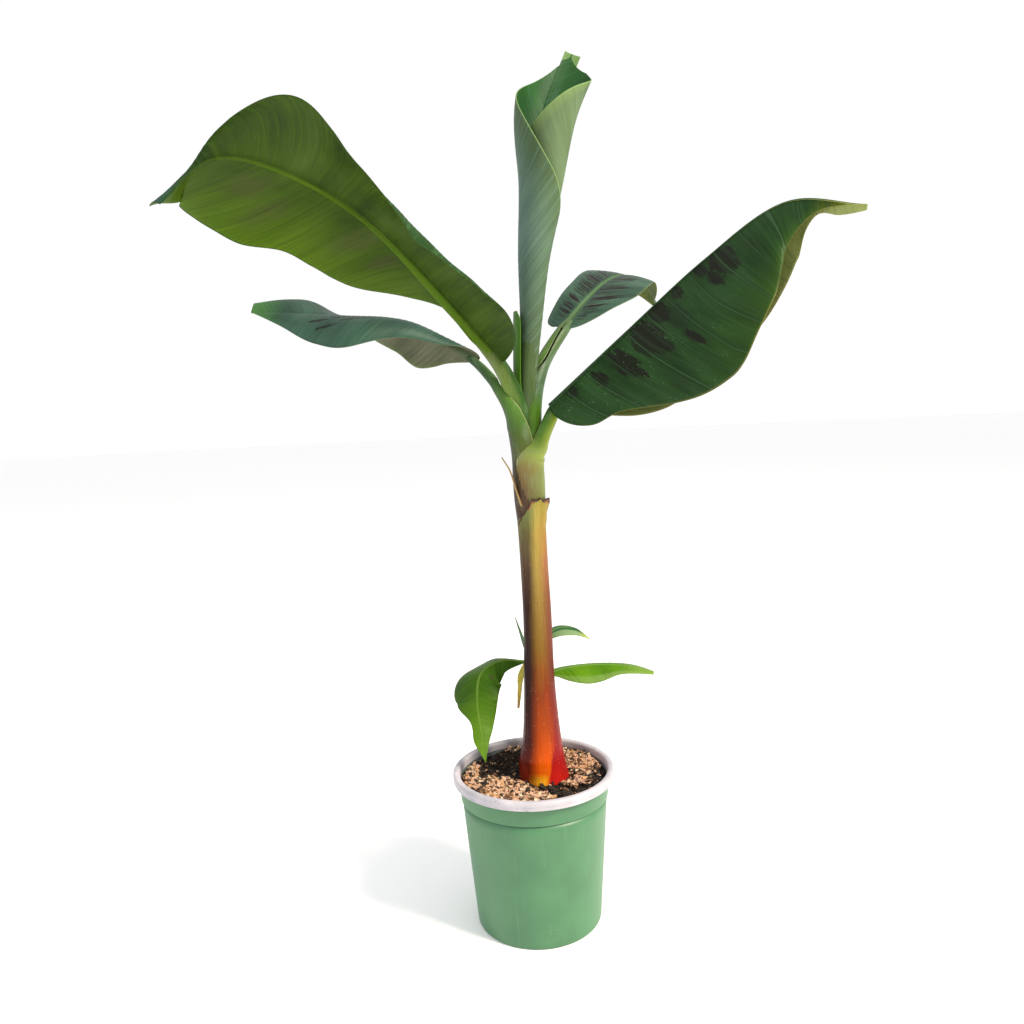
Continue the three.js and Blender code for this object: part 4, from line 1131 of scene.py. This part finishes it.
# The upper face and the lower face of each leaf
LEAF_LOOKS = {
    "leaf_right": (
        dict(body=("#152b10", "#1e3b16", "#27491f"), edge="#324d11", edge_from=-0.5, edge_to=-1.0,
             edge_amount=0.7, edge_span=(0.35, 0.6), tip="#6a7006", tip_from=0.84, tip_amount=0.95,
             spot="#15130c", spot_softness=0.12, spot_amount=0.9,
             spots=((60, -22, 7, 17), (84, -19, 11, 18), (89, -35, 4, 7), (102, -10, 7, 10), (119, -8, 4, 6),
                    (152, -14, 10, 12), (143, -21, 4, 9), (139, -7, 4, 7), (40, -15, 5, 8), (104, -45, 3, 10),
                    (20, -7, 4, 6)),
             dust_to=0.42, vein_strength=0.14, main_vein=0.15, cord=0.5, cord_spacing=19.0, rib="#3f5c3c",
             rib_width=0.8, rib_amount=0.8, margin="#74743c", margin_amount=0.5, roughness=0.4,
             glow="#4e6d14", see_through=0.08),
        # Lower face: from two fifths of the way out to the tip it is pale yellow-green, painted light on the
        # blade
        dict(body=("#33401a", "#434f22", "#505b2c"), edge="#6b763c", edge_from=0.4, edge_to=1.0,
             edge_amount=0.5, tip="#a2ac66", tip_from=0.42, tip_amount=0.95, vein_strength=0.14,
             main_vein=0.3, rib="#304a31", rib_width=1.0, rib_amount=0.9, margin="#877c47",
             margin_amount=0.8, roughness=0.5, glow="#7d8c28", see_through=0.25),
    ),
    "leaf_left_high": (
        # The bluish green towards the tip, on the upper face and on the left half of the lower face, is a
        # painted sheen: the sky's reflection on the curled apex
        dict(body=("#1a2e14", "#203818", "#2a4422"), edge="#2a4422", edge_from=0.4, edge_to=1.0,
             edge_amount=0.3, tip="#2c4c3c", tip_from=0.72, tip_amount=0.9, vein_strength=0.12, main_vein=0.2,
             rib="#4d784d", rib_width=0.8, rib_amount=0.7, margin="#46654c", margin_amount=0.3, roughness=0.6,
             glow="#506c28", see_through=0.03, gloss=0.03),
        dict(body=("#223a04", "#364e0c", "#445c1c"), edge="#52700c", edge_from=-0.2, edge_to=-0.95,
             edge_amount=0.9, edge_span=(0.08, 0.45), tip="#274a3c", tip_from=0.8, tip_amount=0.9, tip_side=1,
             spot="#4a4330", spot_softness=0.5, spot_amount=0.36,
             spots=((197, -21, 9, 11), (175, -30, 6, 14), (128, -15, 8, 11), (104, -12, 5, 9)),
             vein_strength=0.24, main_vein=0.15, cord=0.22, cord_spacing=23.0, rib="#4c6c04", rib_width=0.55,
             rib_amount=0.8, margin="#2c4410", margin_amount=0.6, roughness=0.48, glow="#68941c",
             see_through=0.22),
    ),
    "leaf_left_low": (
        dict(body=("#1a3029", "#273f33", "#345044"), edge="#40604e", edge_from=0.6, edge_to=1.0,
             edge_amount=0.4, tip="#3d7020", tip_from=0.86, tip_amount=0.6, spot="#0f1211",
             spot_softness=0.15, spot_amount=0.9,
             spots=((94, 9, 15, 2), (86, 14, 17, 2), (80, 20, 12, 1.6), (98, 24, 8, 1.4), (72, 8, 13, 1.6),
                    (56, 12, 12, 1.6), (48, 7, 10, 1.5), (110, 15, 7, 1.4)),
             vein_strength=0.2, main_vein=0.2, rib="#35503a", rib_width=0.7, rib_amount=0.6, margin="#5c7058",
             margin_amount=0.6, roughness=0.42, glow="#466828", see_through=0.08),
        dict(body=("#585c4a", "#686c56", "#757862"), edge="#628833", edge_from=-0.8, edge_to=-1.0,
             edge_amount=0.3, tip="#628d2a", tip_from=0.8, tip_amount=0.9, vein_strength=0.12, main_vein=0.2,
             rib="#4f5d41", rib_width=1.0, rib_amount=0.8, margin="#84846c", margin_amount=0.6,
             roughness=0.55, glow="#798d46", see_through=0.2),
    ),
    "leaf_back": (
        dict(body=("#22382f", "#2e4639", "#3b5547"), edge="#46624f", edge_from=0.7, edge_to=1.0,
             edge_amount=0.4, tip="#304830", tip_from=0.9, tip_amount=0.4, blotch="#1c1617",
             patch_size=(1.667, 55.6), strip_width=0.7, blotch_span=(0.05, 0.98),
             blotch_from=0.55, blotch_to=0.95, blotch_level=0.48,
             vein_strength=0.2, main_vein=0.15, rib="#48643c", rib_width=0.6, rib_amount=0.8,
             margin="#5d6b50", margin_amount=0.6, roughness=0.42, glow="#466828", see_through=0.08),
        dict(body=("#465428", "#536030", "#616f3a"), edge="#748046", edge_from=0.5, edge_to=1.0,
             edge_amount=0.4, tip="#6b7933", tip_from=0.85, tip_amount=0.4, vein_strength=0.14, main_vein=0.2,
             rib="#768d46", rib_width=1.0, rib_amount=0.8, margin="#8a8a58", margin_amount=0.6, roughness=0.5,
             glow="#889b38", see_through=0.2),
    ),
}


def leaf_piece(name, spec, upper_look, lower_look):
    """The finished blade of one leaf, with a skin for its upper face and one for its lower face."""
    points, faces, top, maps = leaf_mesh(spec)
    skins = [leaf_face(name + "_upper_face", upper_look), leaf_face(name + "_lower_face", lower_look)]
    kinds = [0] * top + [1] * (len(faces) - top)
    return make_piece(name + "_blade", points, faces, skins, kinds, maps)


for name, spec in LEAVES.items():
    piece = leaf_piece(name, spec, *LEAF_LOOKS[name])
    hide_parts(name)


# Rolled leaf
# The newest leaf is still rolled, like a paper cone: its midrib is at the back, the right half winds inside
# and the left half wraps round it. What shows outside is the lower face, dulled by wax, with the side veins
# rising steeply round the roll. The dark upper face shows only inside the open top.
ROLL_RIB = [
    (8, 4, 392), (12.6, 8, 438), (16.8, 12, 484), (24.5, 16, 531), (31.2, 17.1, 580), (50.6, 25.2, 626),
]
ROLL_RADII = [5.4, 7.6, 11.3, 16.7, 24, 26.1]
# How wide each half of the blade is, from foot to tip, and how tightly it is wound
ROLL_HALVES = {
    "outer": {"side": 1, "width": [22, 40, 52, 60, 64.5, 59.5, 50, 17, 0], "tightness": 0.98},
    "inner": {"side": -1, "width": [22, 40, 52, 62, 70, 78.5, 64, 40, 0], "tightness": 0.82},
}
MOST_TURN = 5.4
PAST_MIDRIB = 0.25
TIP_TAPER = 0.05
ROLL_VEIN_RISE = 1.05
ROLL_MIDRIB = (3.4, 1.2)
ROLL_RIDGE = 0.9
ROLL_PLEAT_DEPTH = 0.07
ROLL_ROWS = 240
ROLL_COLUMNS = 64


def roll_grid(half):
    """The places of one half of the roll, from just past the midrib to its margin."""
    t = np.linspace(0, 1, ROLL_ROWS + 1)
    foot = through(ROLL_RIB, t)
    ahead, above, left = directions(ROLL_RIB, t, (0, -1, 0))
    radius = through(ROLL_RADII, t) * half["tightness"]
    width = through(half["width"], t) * np.clip((1 - t) / TIP_TAPER, 0, 1)
    turn = np.minimum(np.maximum(width, NARROWEST) / radius, MOST_TURN)
    along = np.concatenate([[0], np.cumsum(np.linalg.norm(np.diff(foot, axis=0), axis=1))])
    angle = -PAST_MIDRIB + (turn[:, None] + PAST_MIDRIB) * np.arange(ROLL_COLUMNS + 1) / ROLL_COLUMNS
    places = foot[:, None] + half["side"] * (radius[:, None] * np.sin(angle))[..., None] * left[:, None]
    places = places + (radius[:, None] * (1 - np.cos(angle)))[..., None] * above[:, None]
    across = radius[:, None] * angle
    out = angle / turn[:, None]
    return places, along[:, None] + 0 * across, across, t[:, None] + 0 * across, out


ROLL_LOOKS = {
    "outer": dict(body=("#4e665a", "#5a7266", "#688074"), edge="#485c3a", edge_from=0.45, edge_to=0.9,
                  edge_amount=0.9, base="#3c4c28", base_to=0.42, tip="#4a4a2c", tip_from=0.9,
                  tip_amount=0.8, vein_strength=0.16, main_vein=0.15, cord=0.35, cord_spacing=9.0,
                  rib="#6c8668", rib_width=1.0, rib_amount=0.5, margin="#7c985c", margin_amount=0.6,
                  roughness=0.5, glow="#6c8c3c", see_through=0.12),
    "inner": dict(body=("#4f6140", "#596d4b", "#647856"), edge="#76904e", edge_from=0.85, edge_to=1.0,
                  edge_amount=0.5, tip="#4a4a2c", tip_from=0.9, tip_amount=0.8, vein_strength=0.12,
                  main_vein=0.15, rib="#6c8658", rib_width=1.0, rib_amount=0.5, margin="#7c985c",
                  margin_amount=0.6, roughness=0.5, glow="#6c9436", see_through=0.15),
    "inside": dict(body=("#1a3c1c", "#234a24", "#2d5a2c"), edge="#36602c", edge_from=0.6, edge_to=1.0,
                   edge_amount=0.4, tip="#2d5828", tip_from=0.9, tip_amount=0.4, vein_strength=0.1,
                   main_vein=0.2, rib="#4c705c", rib_width=1.2, rib_amount=0.6, margin="#7c985c",
                   margin_amount=0.5, roughness=0.42, glow="#507824", see_through=0.12),
}
all_points = []
all_faces = []
all_kinds = []
all_maps = {"veins": [], "share": [], "ribs": []}
for name, half in ROLL_HALVES.items():
    places, along, across, t, out = roll_grid(half)
    if half["side"] > 0:
        places, along, across, t, out = (a[:, ::-1] for a in (places, along, across, t, out))
    veins = along - ROLL_VEIN_RISE * across
    rib = np.linspace(*ROLL_MIDRIB, ROLL_ROWS + 1)[:, None]
    ridge = ROLL_RIDGE * rib * np.sqrt(np.clip(1 - (across / rib) ** 2, 0, 1))
    pleat = ROLL_PLEAT_DEPTH * np.sin(2 * np.pi * veins / VEIN_SPACING) * np.clip(across / PLEATS_FROM, 0, 1)
    thin = BLADE_THICKNESS / 2 + 0 * across
    points, faces, top = closed_sheet(places, thin + pleat, thin + ridge - pleat)
    start = sum(len(p) for p in all_points)
    all_points.append(points)
    all_faces += [[start + v for v in face] for face in faces]
    outside = 1 if name == "outer" else 2
    all_kinds += [0] * top + [outside] * (len(faces) - top)
    for title, values in leaf_maps(veins, across, t, out, rib, along).items():
        all_maps[title].append(values)
roll_skins = [leaf_face("roll_" + key + "_face", ROLL_LOOKS[key]) for key in ("inside", "outer", "inner")]
rolled = make_piece("rolled_blade", np.concatenate(all_points), all_faces, roll_skins, all_kinds,
                    {k: np.concatenate(v) for k, v in all_maps.items()})
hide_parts("rolled_leaf")

# The drawn-in foot of the roll, which comes up out of the heart of the stem
roll_foot_shape = {
    "line": [(7.4, 1.5, 352), (7.8, 0.4, 374), (8.1, -1.2, 388), (9, -1.5, 402), (10.6, -1, 420),
             (11.6, -0.6, 430)],
    "radii": [4.8, 5.3, 5.8, 6, 6.3, 5.6],
    "from": [100, 100],
    "to": [490, 490],
    "thick": 2,
    "tuck": 0.5,
}
roll_foot_look = dict(first=("#34461f", "#3a4c28", "#3c4e2a"), second=("#34461f", "#3a4c28", "#3c4e2a"),
                      turns=(0.3, 0.7), seam="#3a4c28", seam_amount=0.3, margin="#44583a", bloom=0.1)
roll_foot = sheath_piece("rolled_foot", roll_foot_shape, "roll_foot_skin", roll_foot_look)
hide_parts("rolled_leaf")


# Torn and dry sheaths
# The oldest sheath has died back to a brown, papery, ragged collar round the stem, with a straw-coloured
# strip still standing from it. A thin green wing of a younger sheath stands up behind the left stalk.
COLLAR_LOW = 290
COLLAR_TURNS = (200, 395)
COLLAR_RIM = [296, 298, 301, 305, 309, 314.5, 313.6, 315, 313.2, 314.6, 312, 304, 299, 296]
COLLAR_FLARE = [0, 0, 0, 0, 0.3, 0.5, 0.6, 0.7, 1, 2.2, 2.6, 0.8, 0, 0]
COLLAR_THICKNESS = 0.45
# Its foot is tucked into the younger sheaths, and it comes out from them over the first millimetres
TUCKED_IN = 0.5
COMES_OUT = 1.5
COMES_OUT_OVER = 9
# The dead band along the rim is this deep, and in places deeper by as much as the second number
DEAD_BAND = (1.6, 2.6)
COLLAR_ROWS = 60
COLLAR_COLUMNS = 130
share, rise = np.meshgrid(np.arange(COLLAR_COLUMNS + 1) / COLLAR_COLUMNS,
                          np.arange(COLLAR_ROWS + 1) / COLLAR_ROWS)
turn = np.radians(COLLAR_TURNS[0] + (COLLAR_TURNS[1] - COLLAR_TURNS[0]) * share)
rim = through(COLLAR_RIM, share) + 0.3 * np.sin(71 * share) + 0.25 * np.sin(157 * share + 1)
height = COLLAR_LOW + (rim - COLLAR_LOW) * rise
stage = (height - STEM_LINE[0][2]) / (STEM_TOP - STEM_LINE[0][2])
centre = through(STEM_LINE, stage)
risen = np.clip((height - COLLAR_LOW) / COMES_OUT_OVER, 0, 1)
radius = through(STEM_RADII, stage) - TUCKED_IN + COMES_OUT * risen ** 0.8
radius += through(COLLAR_FLARE, share) * rise ** 6 + 0.2 * np.sin(23 * share + 4 * rise) * rise ** 3
ring = np.stack([np.cos(turn), np.sin(turn), 0 * turn], -1)
places = np.stack([centre[..., 0], centre[..., 1], height], -1) + radius[..., None] * ring
points, faces, top = closed_sheet(places, 0 * share, COLLAR_THICKNESS + 0 * share)
to_rim = rim - height
maps = {
    "round": (turn * SKIN_MAP_RADIUS, height),
    "side": (ring[..., 0], (height - GROUND) / (STEM_TOP - GROUND)),
    "tear": (share, to_rim),
}
maps = {name: np.tile(np.stack(pair, -1).reshape(-1, 2), (2, 1)) for name, pair in maps.items()}
deeper = np.clip(np.sin(19 * share + 1), 0, 1) * (share > 0.3)
dead = (to_rim < DEAD_BAND[0] + DEAD_BAND[1] * deeper).reshape(-1)
dead = np.concatenate([dead, dead])
kinds = [int(all(dead[v] for v in face)) for face in faces]

# Dead sheath is dry and fibrous: matt, brown and darkest at its torn top, fading to straw lower down
dry_sheath, tree, shader = new_material("dead_papery_sheath", 0.8)
where = add(tree, "UVMap", uv_map="round").outputs[0]
tear = add(tree, "SeparateXYZ", {0: add(tree, "UVMap", uv_map="tear").outputs[0]})
fine = add(tree, "Mapping", {"Vector": where, "Scale": (1 / 0.625, 1 / 8.33, 1)}).outputs[0]
fibre = add(tree, "TexNoise", {"Vector": fine, "Scale": 1.0, "Detail": 4.0}).outputs["Fac"]
level = add(tree, "MapRange", {"Value": tear.outputs[1], "From Max": 4.2, "To Max": 0.8}).outputs[0]
shift = add(tree, "MapRange", {"Value": fibre, "To Min": -0.25, "To Max": 0.25}).outputs[0]
level = add(tree, "Math", {0: level, 1: shift}, operation="ADD").outputs[0]
tone = add(tree, "ValToRGB", {"Fac": level}, [
    (0.0, "#2c1a14"), (0.2, "#4c2c1c"), (0.45, "#744a2a"), (0.7, "#8c6a34"), (1.0, "#a08a3c"),
]).outputs["Color"]
tree.links.new(tone, shader.inputs["Base Color"])
bump = add(tree, "Bump", {"Height": fibre, "Strength": 0.6, "Distance": 0.0006}).outputs["Normal"]
tree.links.new(bump, shader.inputs["Normal"])
collar = make_piece("torn_collar", points, faces, [sheath_skin, dry_sheath], kinds, maps)
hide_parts("torn_sheath")

dry_strip_shape = {
    "rib": [(0.6, -4.2, 307.5), (-3.2, -5.2, 321), (-7, -5, 335), (-12.4, -3.4, 345)],
    "left": {"width": [1.4, 1.5, 1.1, 0], "fold": [0, 0], "curl": [30, 30]},
    "right": {"width": [1.4, 1.5, 1.1, 0], "fold": [0, 0], "curl": [30, 30]},
    "midrib": [0.4, 0.3, 0.2],
    "wave": 0.0, "rows": 70, "columns": 6,
}
dry_strip_look = dict(
    body=("#947446", "#b09463", "#c2ac7f"), edge="#794f33", edge_from=0.5, edge_to=1.0, edge_amount=0.5,
    tip="#797933", tip_from=0.6, tip_amount=0.9, vein_strength=0.2, main_vein=0.0, rib="#c5b086",
    rib_width=0.8, rib_amount=0.2, margin="#794f33", margin_amount=0.5, roughness=0.7, glow="#b79454",
    see_through=0.1)
points, faces, top, maps = leaf_mesh(dry_strip_shape)
strip_tissue = leaf_face("dry_strip_tissue", dry_strip_look)
strip = make_piece("dry_strip_fine", points, faces, [strip_tissue], maps=maps)
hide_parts("dry_strip")

wing_shape = {
    "line": [(8, 1.2, 380), (8.9, 0.9, 400), (10.6, 1, 420), (12.4, 1.2, 438), (13, 1.4, 445)],
    "radii": [8.4, 10.4, 11.5, 12.4, 12.6],
    "from": [140, 145, 150, 155, 160],
    "to": [240, 238, 236, 232, 215],
    "thick": 0.7,
}
wing_look = dict(first=("#2c4e08", "#30540a", "#345a0c"), second=("#36600a", "#3b660c", "#3f6a0e"),
                 turns=(0.3, 0.8), seam="#345a0c", seam_amount=0.2, margin="#4c741c")
wing = sheath_piece("sheath_wing_fine", wing_shape, "sheath_wing_skin", wing_look)
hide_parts("sheath_wing")


# Sucker
# A side shoot has come up behind the stem on its own thin false stem. It carries a narrow unopened spear,
# three small soft leaves and one that is drying up. The left leaf droops, the right one spreads out level.
SUCKER_SHEATHS = {
    "sucker_stem": {
        "line": [(11, 37, 101), (10.2, 36, 120), (9, 35, 140), (6.4, 33.6, 165), (3, 32, 190)],
        "radii": [8, 7, 6, 4.8, 3.4], "from": [-130, -110], "to": [270, 270], "thick": 1.4, "tuck": 0.9,
    },
    "sucker_spear": {
        "line": [(2.4, 32, 184), (-2, 31.3, 198), (-5, 30.7, 209), (-8.5, 30, 221)],
        "radii": [1.9, 1.6, 1.1, 0.4], "from": [-130, -110], "to": [280, 280], "thick": 0.9, "tuck": 0.3,
    },
}
SUCKER_SHEATH_LOOKS = {
    "sucker_stem": dict(first=("#7a3424", "#6c5a30", "#4c742c", "#407024"),
                        second=("#6a2c20", "#5f5a2c", "#4c742c", "#3c6c20"), turns=(0.3, 0.7), seam="#6a3424",
                        seam_amount=0.3, margin="#8a9a5c"),
    "sucker_spear": dict(first=("#4c7034", "#4a684c", "#4a684c"), second=("#4c7034", "#44644c", "#3c5a40"),
                         turns=(0.3, 0.7), seam="#3c5a40", seam_amount=0.3, margin="#5c7c54"),
}
for name, spec in SUCKER_SHEATHS.items():
    piece = sheath_piece(name + "_sheaths", spec, name + "_skin", SUCKER_SHEATH_LOOKS[name])
    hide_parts(name)

SUCKER_LEAVES = {
    "sucker_leaf_left": {
        "rib": [(0, 31.5, 186), (-21.6, 27, 188.6), (-36.5, 23.5, 180), (-39.8, 13, 162.5), (-37.2, 3, 141),
                (-35, -6, 122)],
        "left": {"width": [1.6, 8.4, 15.8, 18.2, 16.2, 12.8, 5.2, 0], "fold": [-20, -62, -25, 13, 0, 10],
                 "curl": [0, -20, -30, -20, 0]},
        "right": {"width": [1.6, 7, 25, 24.8, 23.6, 7.8, 6.5, 0], "fold": [-10, -2, -2, -24, 0, 10],
                  "curl": [0, -20, -30, -20, 0]},
        "midrib": [1.5, 1.2, 1, 0.8, 0.6, 0.4], "wave": 0.2, "rows": 130, "columns": 16,
    },
    "sucker_leaf_right": {
        "rib": [(6, 33, 171), (26, 35, 177), (50, 36, 179), (74, 35, 177.5), (97, 32, 172)],
        "left": {"width": [3, 6, 10, 12, 12, 12, 10, 3], "fold": [10, 0, 0, 0], "curl": [0, -20, -20, 0]},
        "right": {"width": [2, 4, 13, 17, 15, 9, 6, 3], "fold": [-10, -20, -30, -20],
                  "curl": [-20, -30, -20, 0]},
        "midrib": [1.4, 1.1, 0.9, 0.7, 0.4], "wave": 0.2, "rows": 110, "columns": 14,
    },
    "sucker_leaf_small": {
        "rib": [(5, 33, 184), (12, 34, 201), (24, 36, 209.5), (38, 38, 208), (49, 39, 199)],
        "left": {"width": [1.6, 2, 6, 6, 4, 0], "fold": [10, 0], "curl": [0, -20]},
        "right": {"width": [1.6, 2.4, 8, 9, 6, 0], "fold": [-10, -30], "curl": [-10, -30]},
        "midrib": [1.3, 1, 0.7, 0.4], "wave": 0.1, "rows": 80, "columns": 10,
    },
    "sucker_leaf_dry": {
        "rib": [(-2.4, 27.4, 185.2), (-5.5, 24, 176), (-7, 23, 164), (-9, 22, 152)],
        "left": {"width": [1.6, 3.4, 3, 1.4], "fold": [10, 10], "curl": [20, 20]},
        "right": {"width": [1.6, 3.4, 3, 1.4], "fold": [10, 10], "curl": [20, 20]},
        "midrib": [0.8, 0.6, 0.4], "wave": 0.2, "rows": 60, "columns": 8,
    },
}
fresh_upper = dict(body=("#3e6806", "#4c7808", "#5a860e"), edge="#7c9452", edge_from=-0.6, edge_to=-0.7,
                   edge_amount=0.45, tip="#86a04c", tip_from=0.7, tip_amount=0.6, vein_strength=0.14,
                   main_vein=0.1, rib="#7c9c40", rib_width=0.8, rib_amount=0.5, margin="#5c7c2c",
                   margin_amount=0.5, roughness=0.4, glow="#71a21c", see_through=0.2)
fresh_lower = {**fresh_upper, "body": ("#4f7023", "#607d33", "#728a44"), "roughness": 0.5}
drooping = {**fresh_upper, "body": ("#2a4a06", "#365a08", "#446a0e"), "edge": "#2c4c08", "edge_from": -0.3,
            "edge_to": -1.0, "edge_amount": 0.5, "tip": "#5c821a", "tip_from": 0.5, "tip_amount": 0.9,
            "rib": "#76923c", "spot": "#46402c", "spot_softness": 0.3, "spot_amount": 0.7,
            "spots": ((34, 9, 2.4, 2.4),)}
dark_upper = {**fresh_upper, "body": ("#1c3c24", "#28502f", "#34603a"), "edge": "#7a9466", "edge_from": -0.35,
              "edge_to": -0.45, "edge_amount": 0.85, "tip": "#a8b448", "tip_from": 0.8, "tip_amount": 0.9}
dying = {**fresh_upper, "body": ("#a8a03c", "#c4b550", "#cfc278"), "edge": "#a97f46", "edge_from": 0.6,
         "edge_to": 1.0, "tip": "#a9683d", "tip_from": 0.6, "tip_amount": 0.9, "rib": "#beb063",
         "glow": "#bea246"}
SUCKER_LOOKS = {
    "sucker_leaf_left": (drooping, fresh_lower),
    "sucker_leaf_right": (fresh_upper, fresh_lower),
    "sucker_leaf_small": (dark_upper, fresh_lower),
    "sucker_leaf_dry": (dying, dying),
}
for name, spec in SUCKER_LEAVES.items():
    piece = leaf_piece(name, spec, *SUCKER_LOOKS[name])
    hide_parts(name)


low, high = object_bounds()
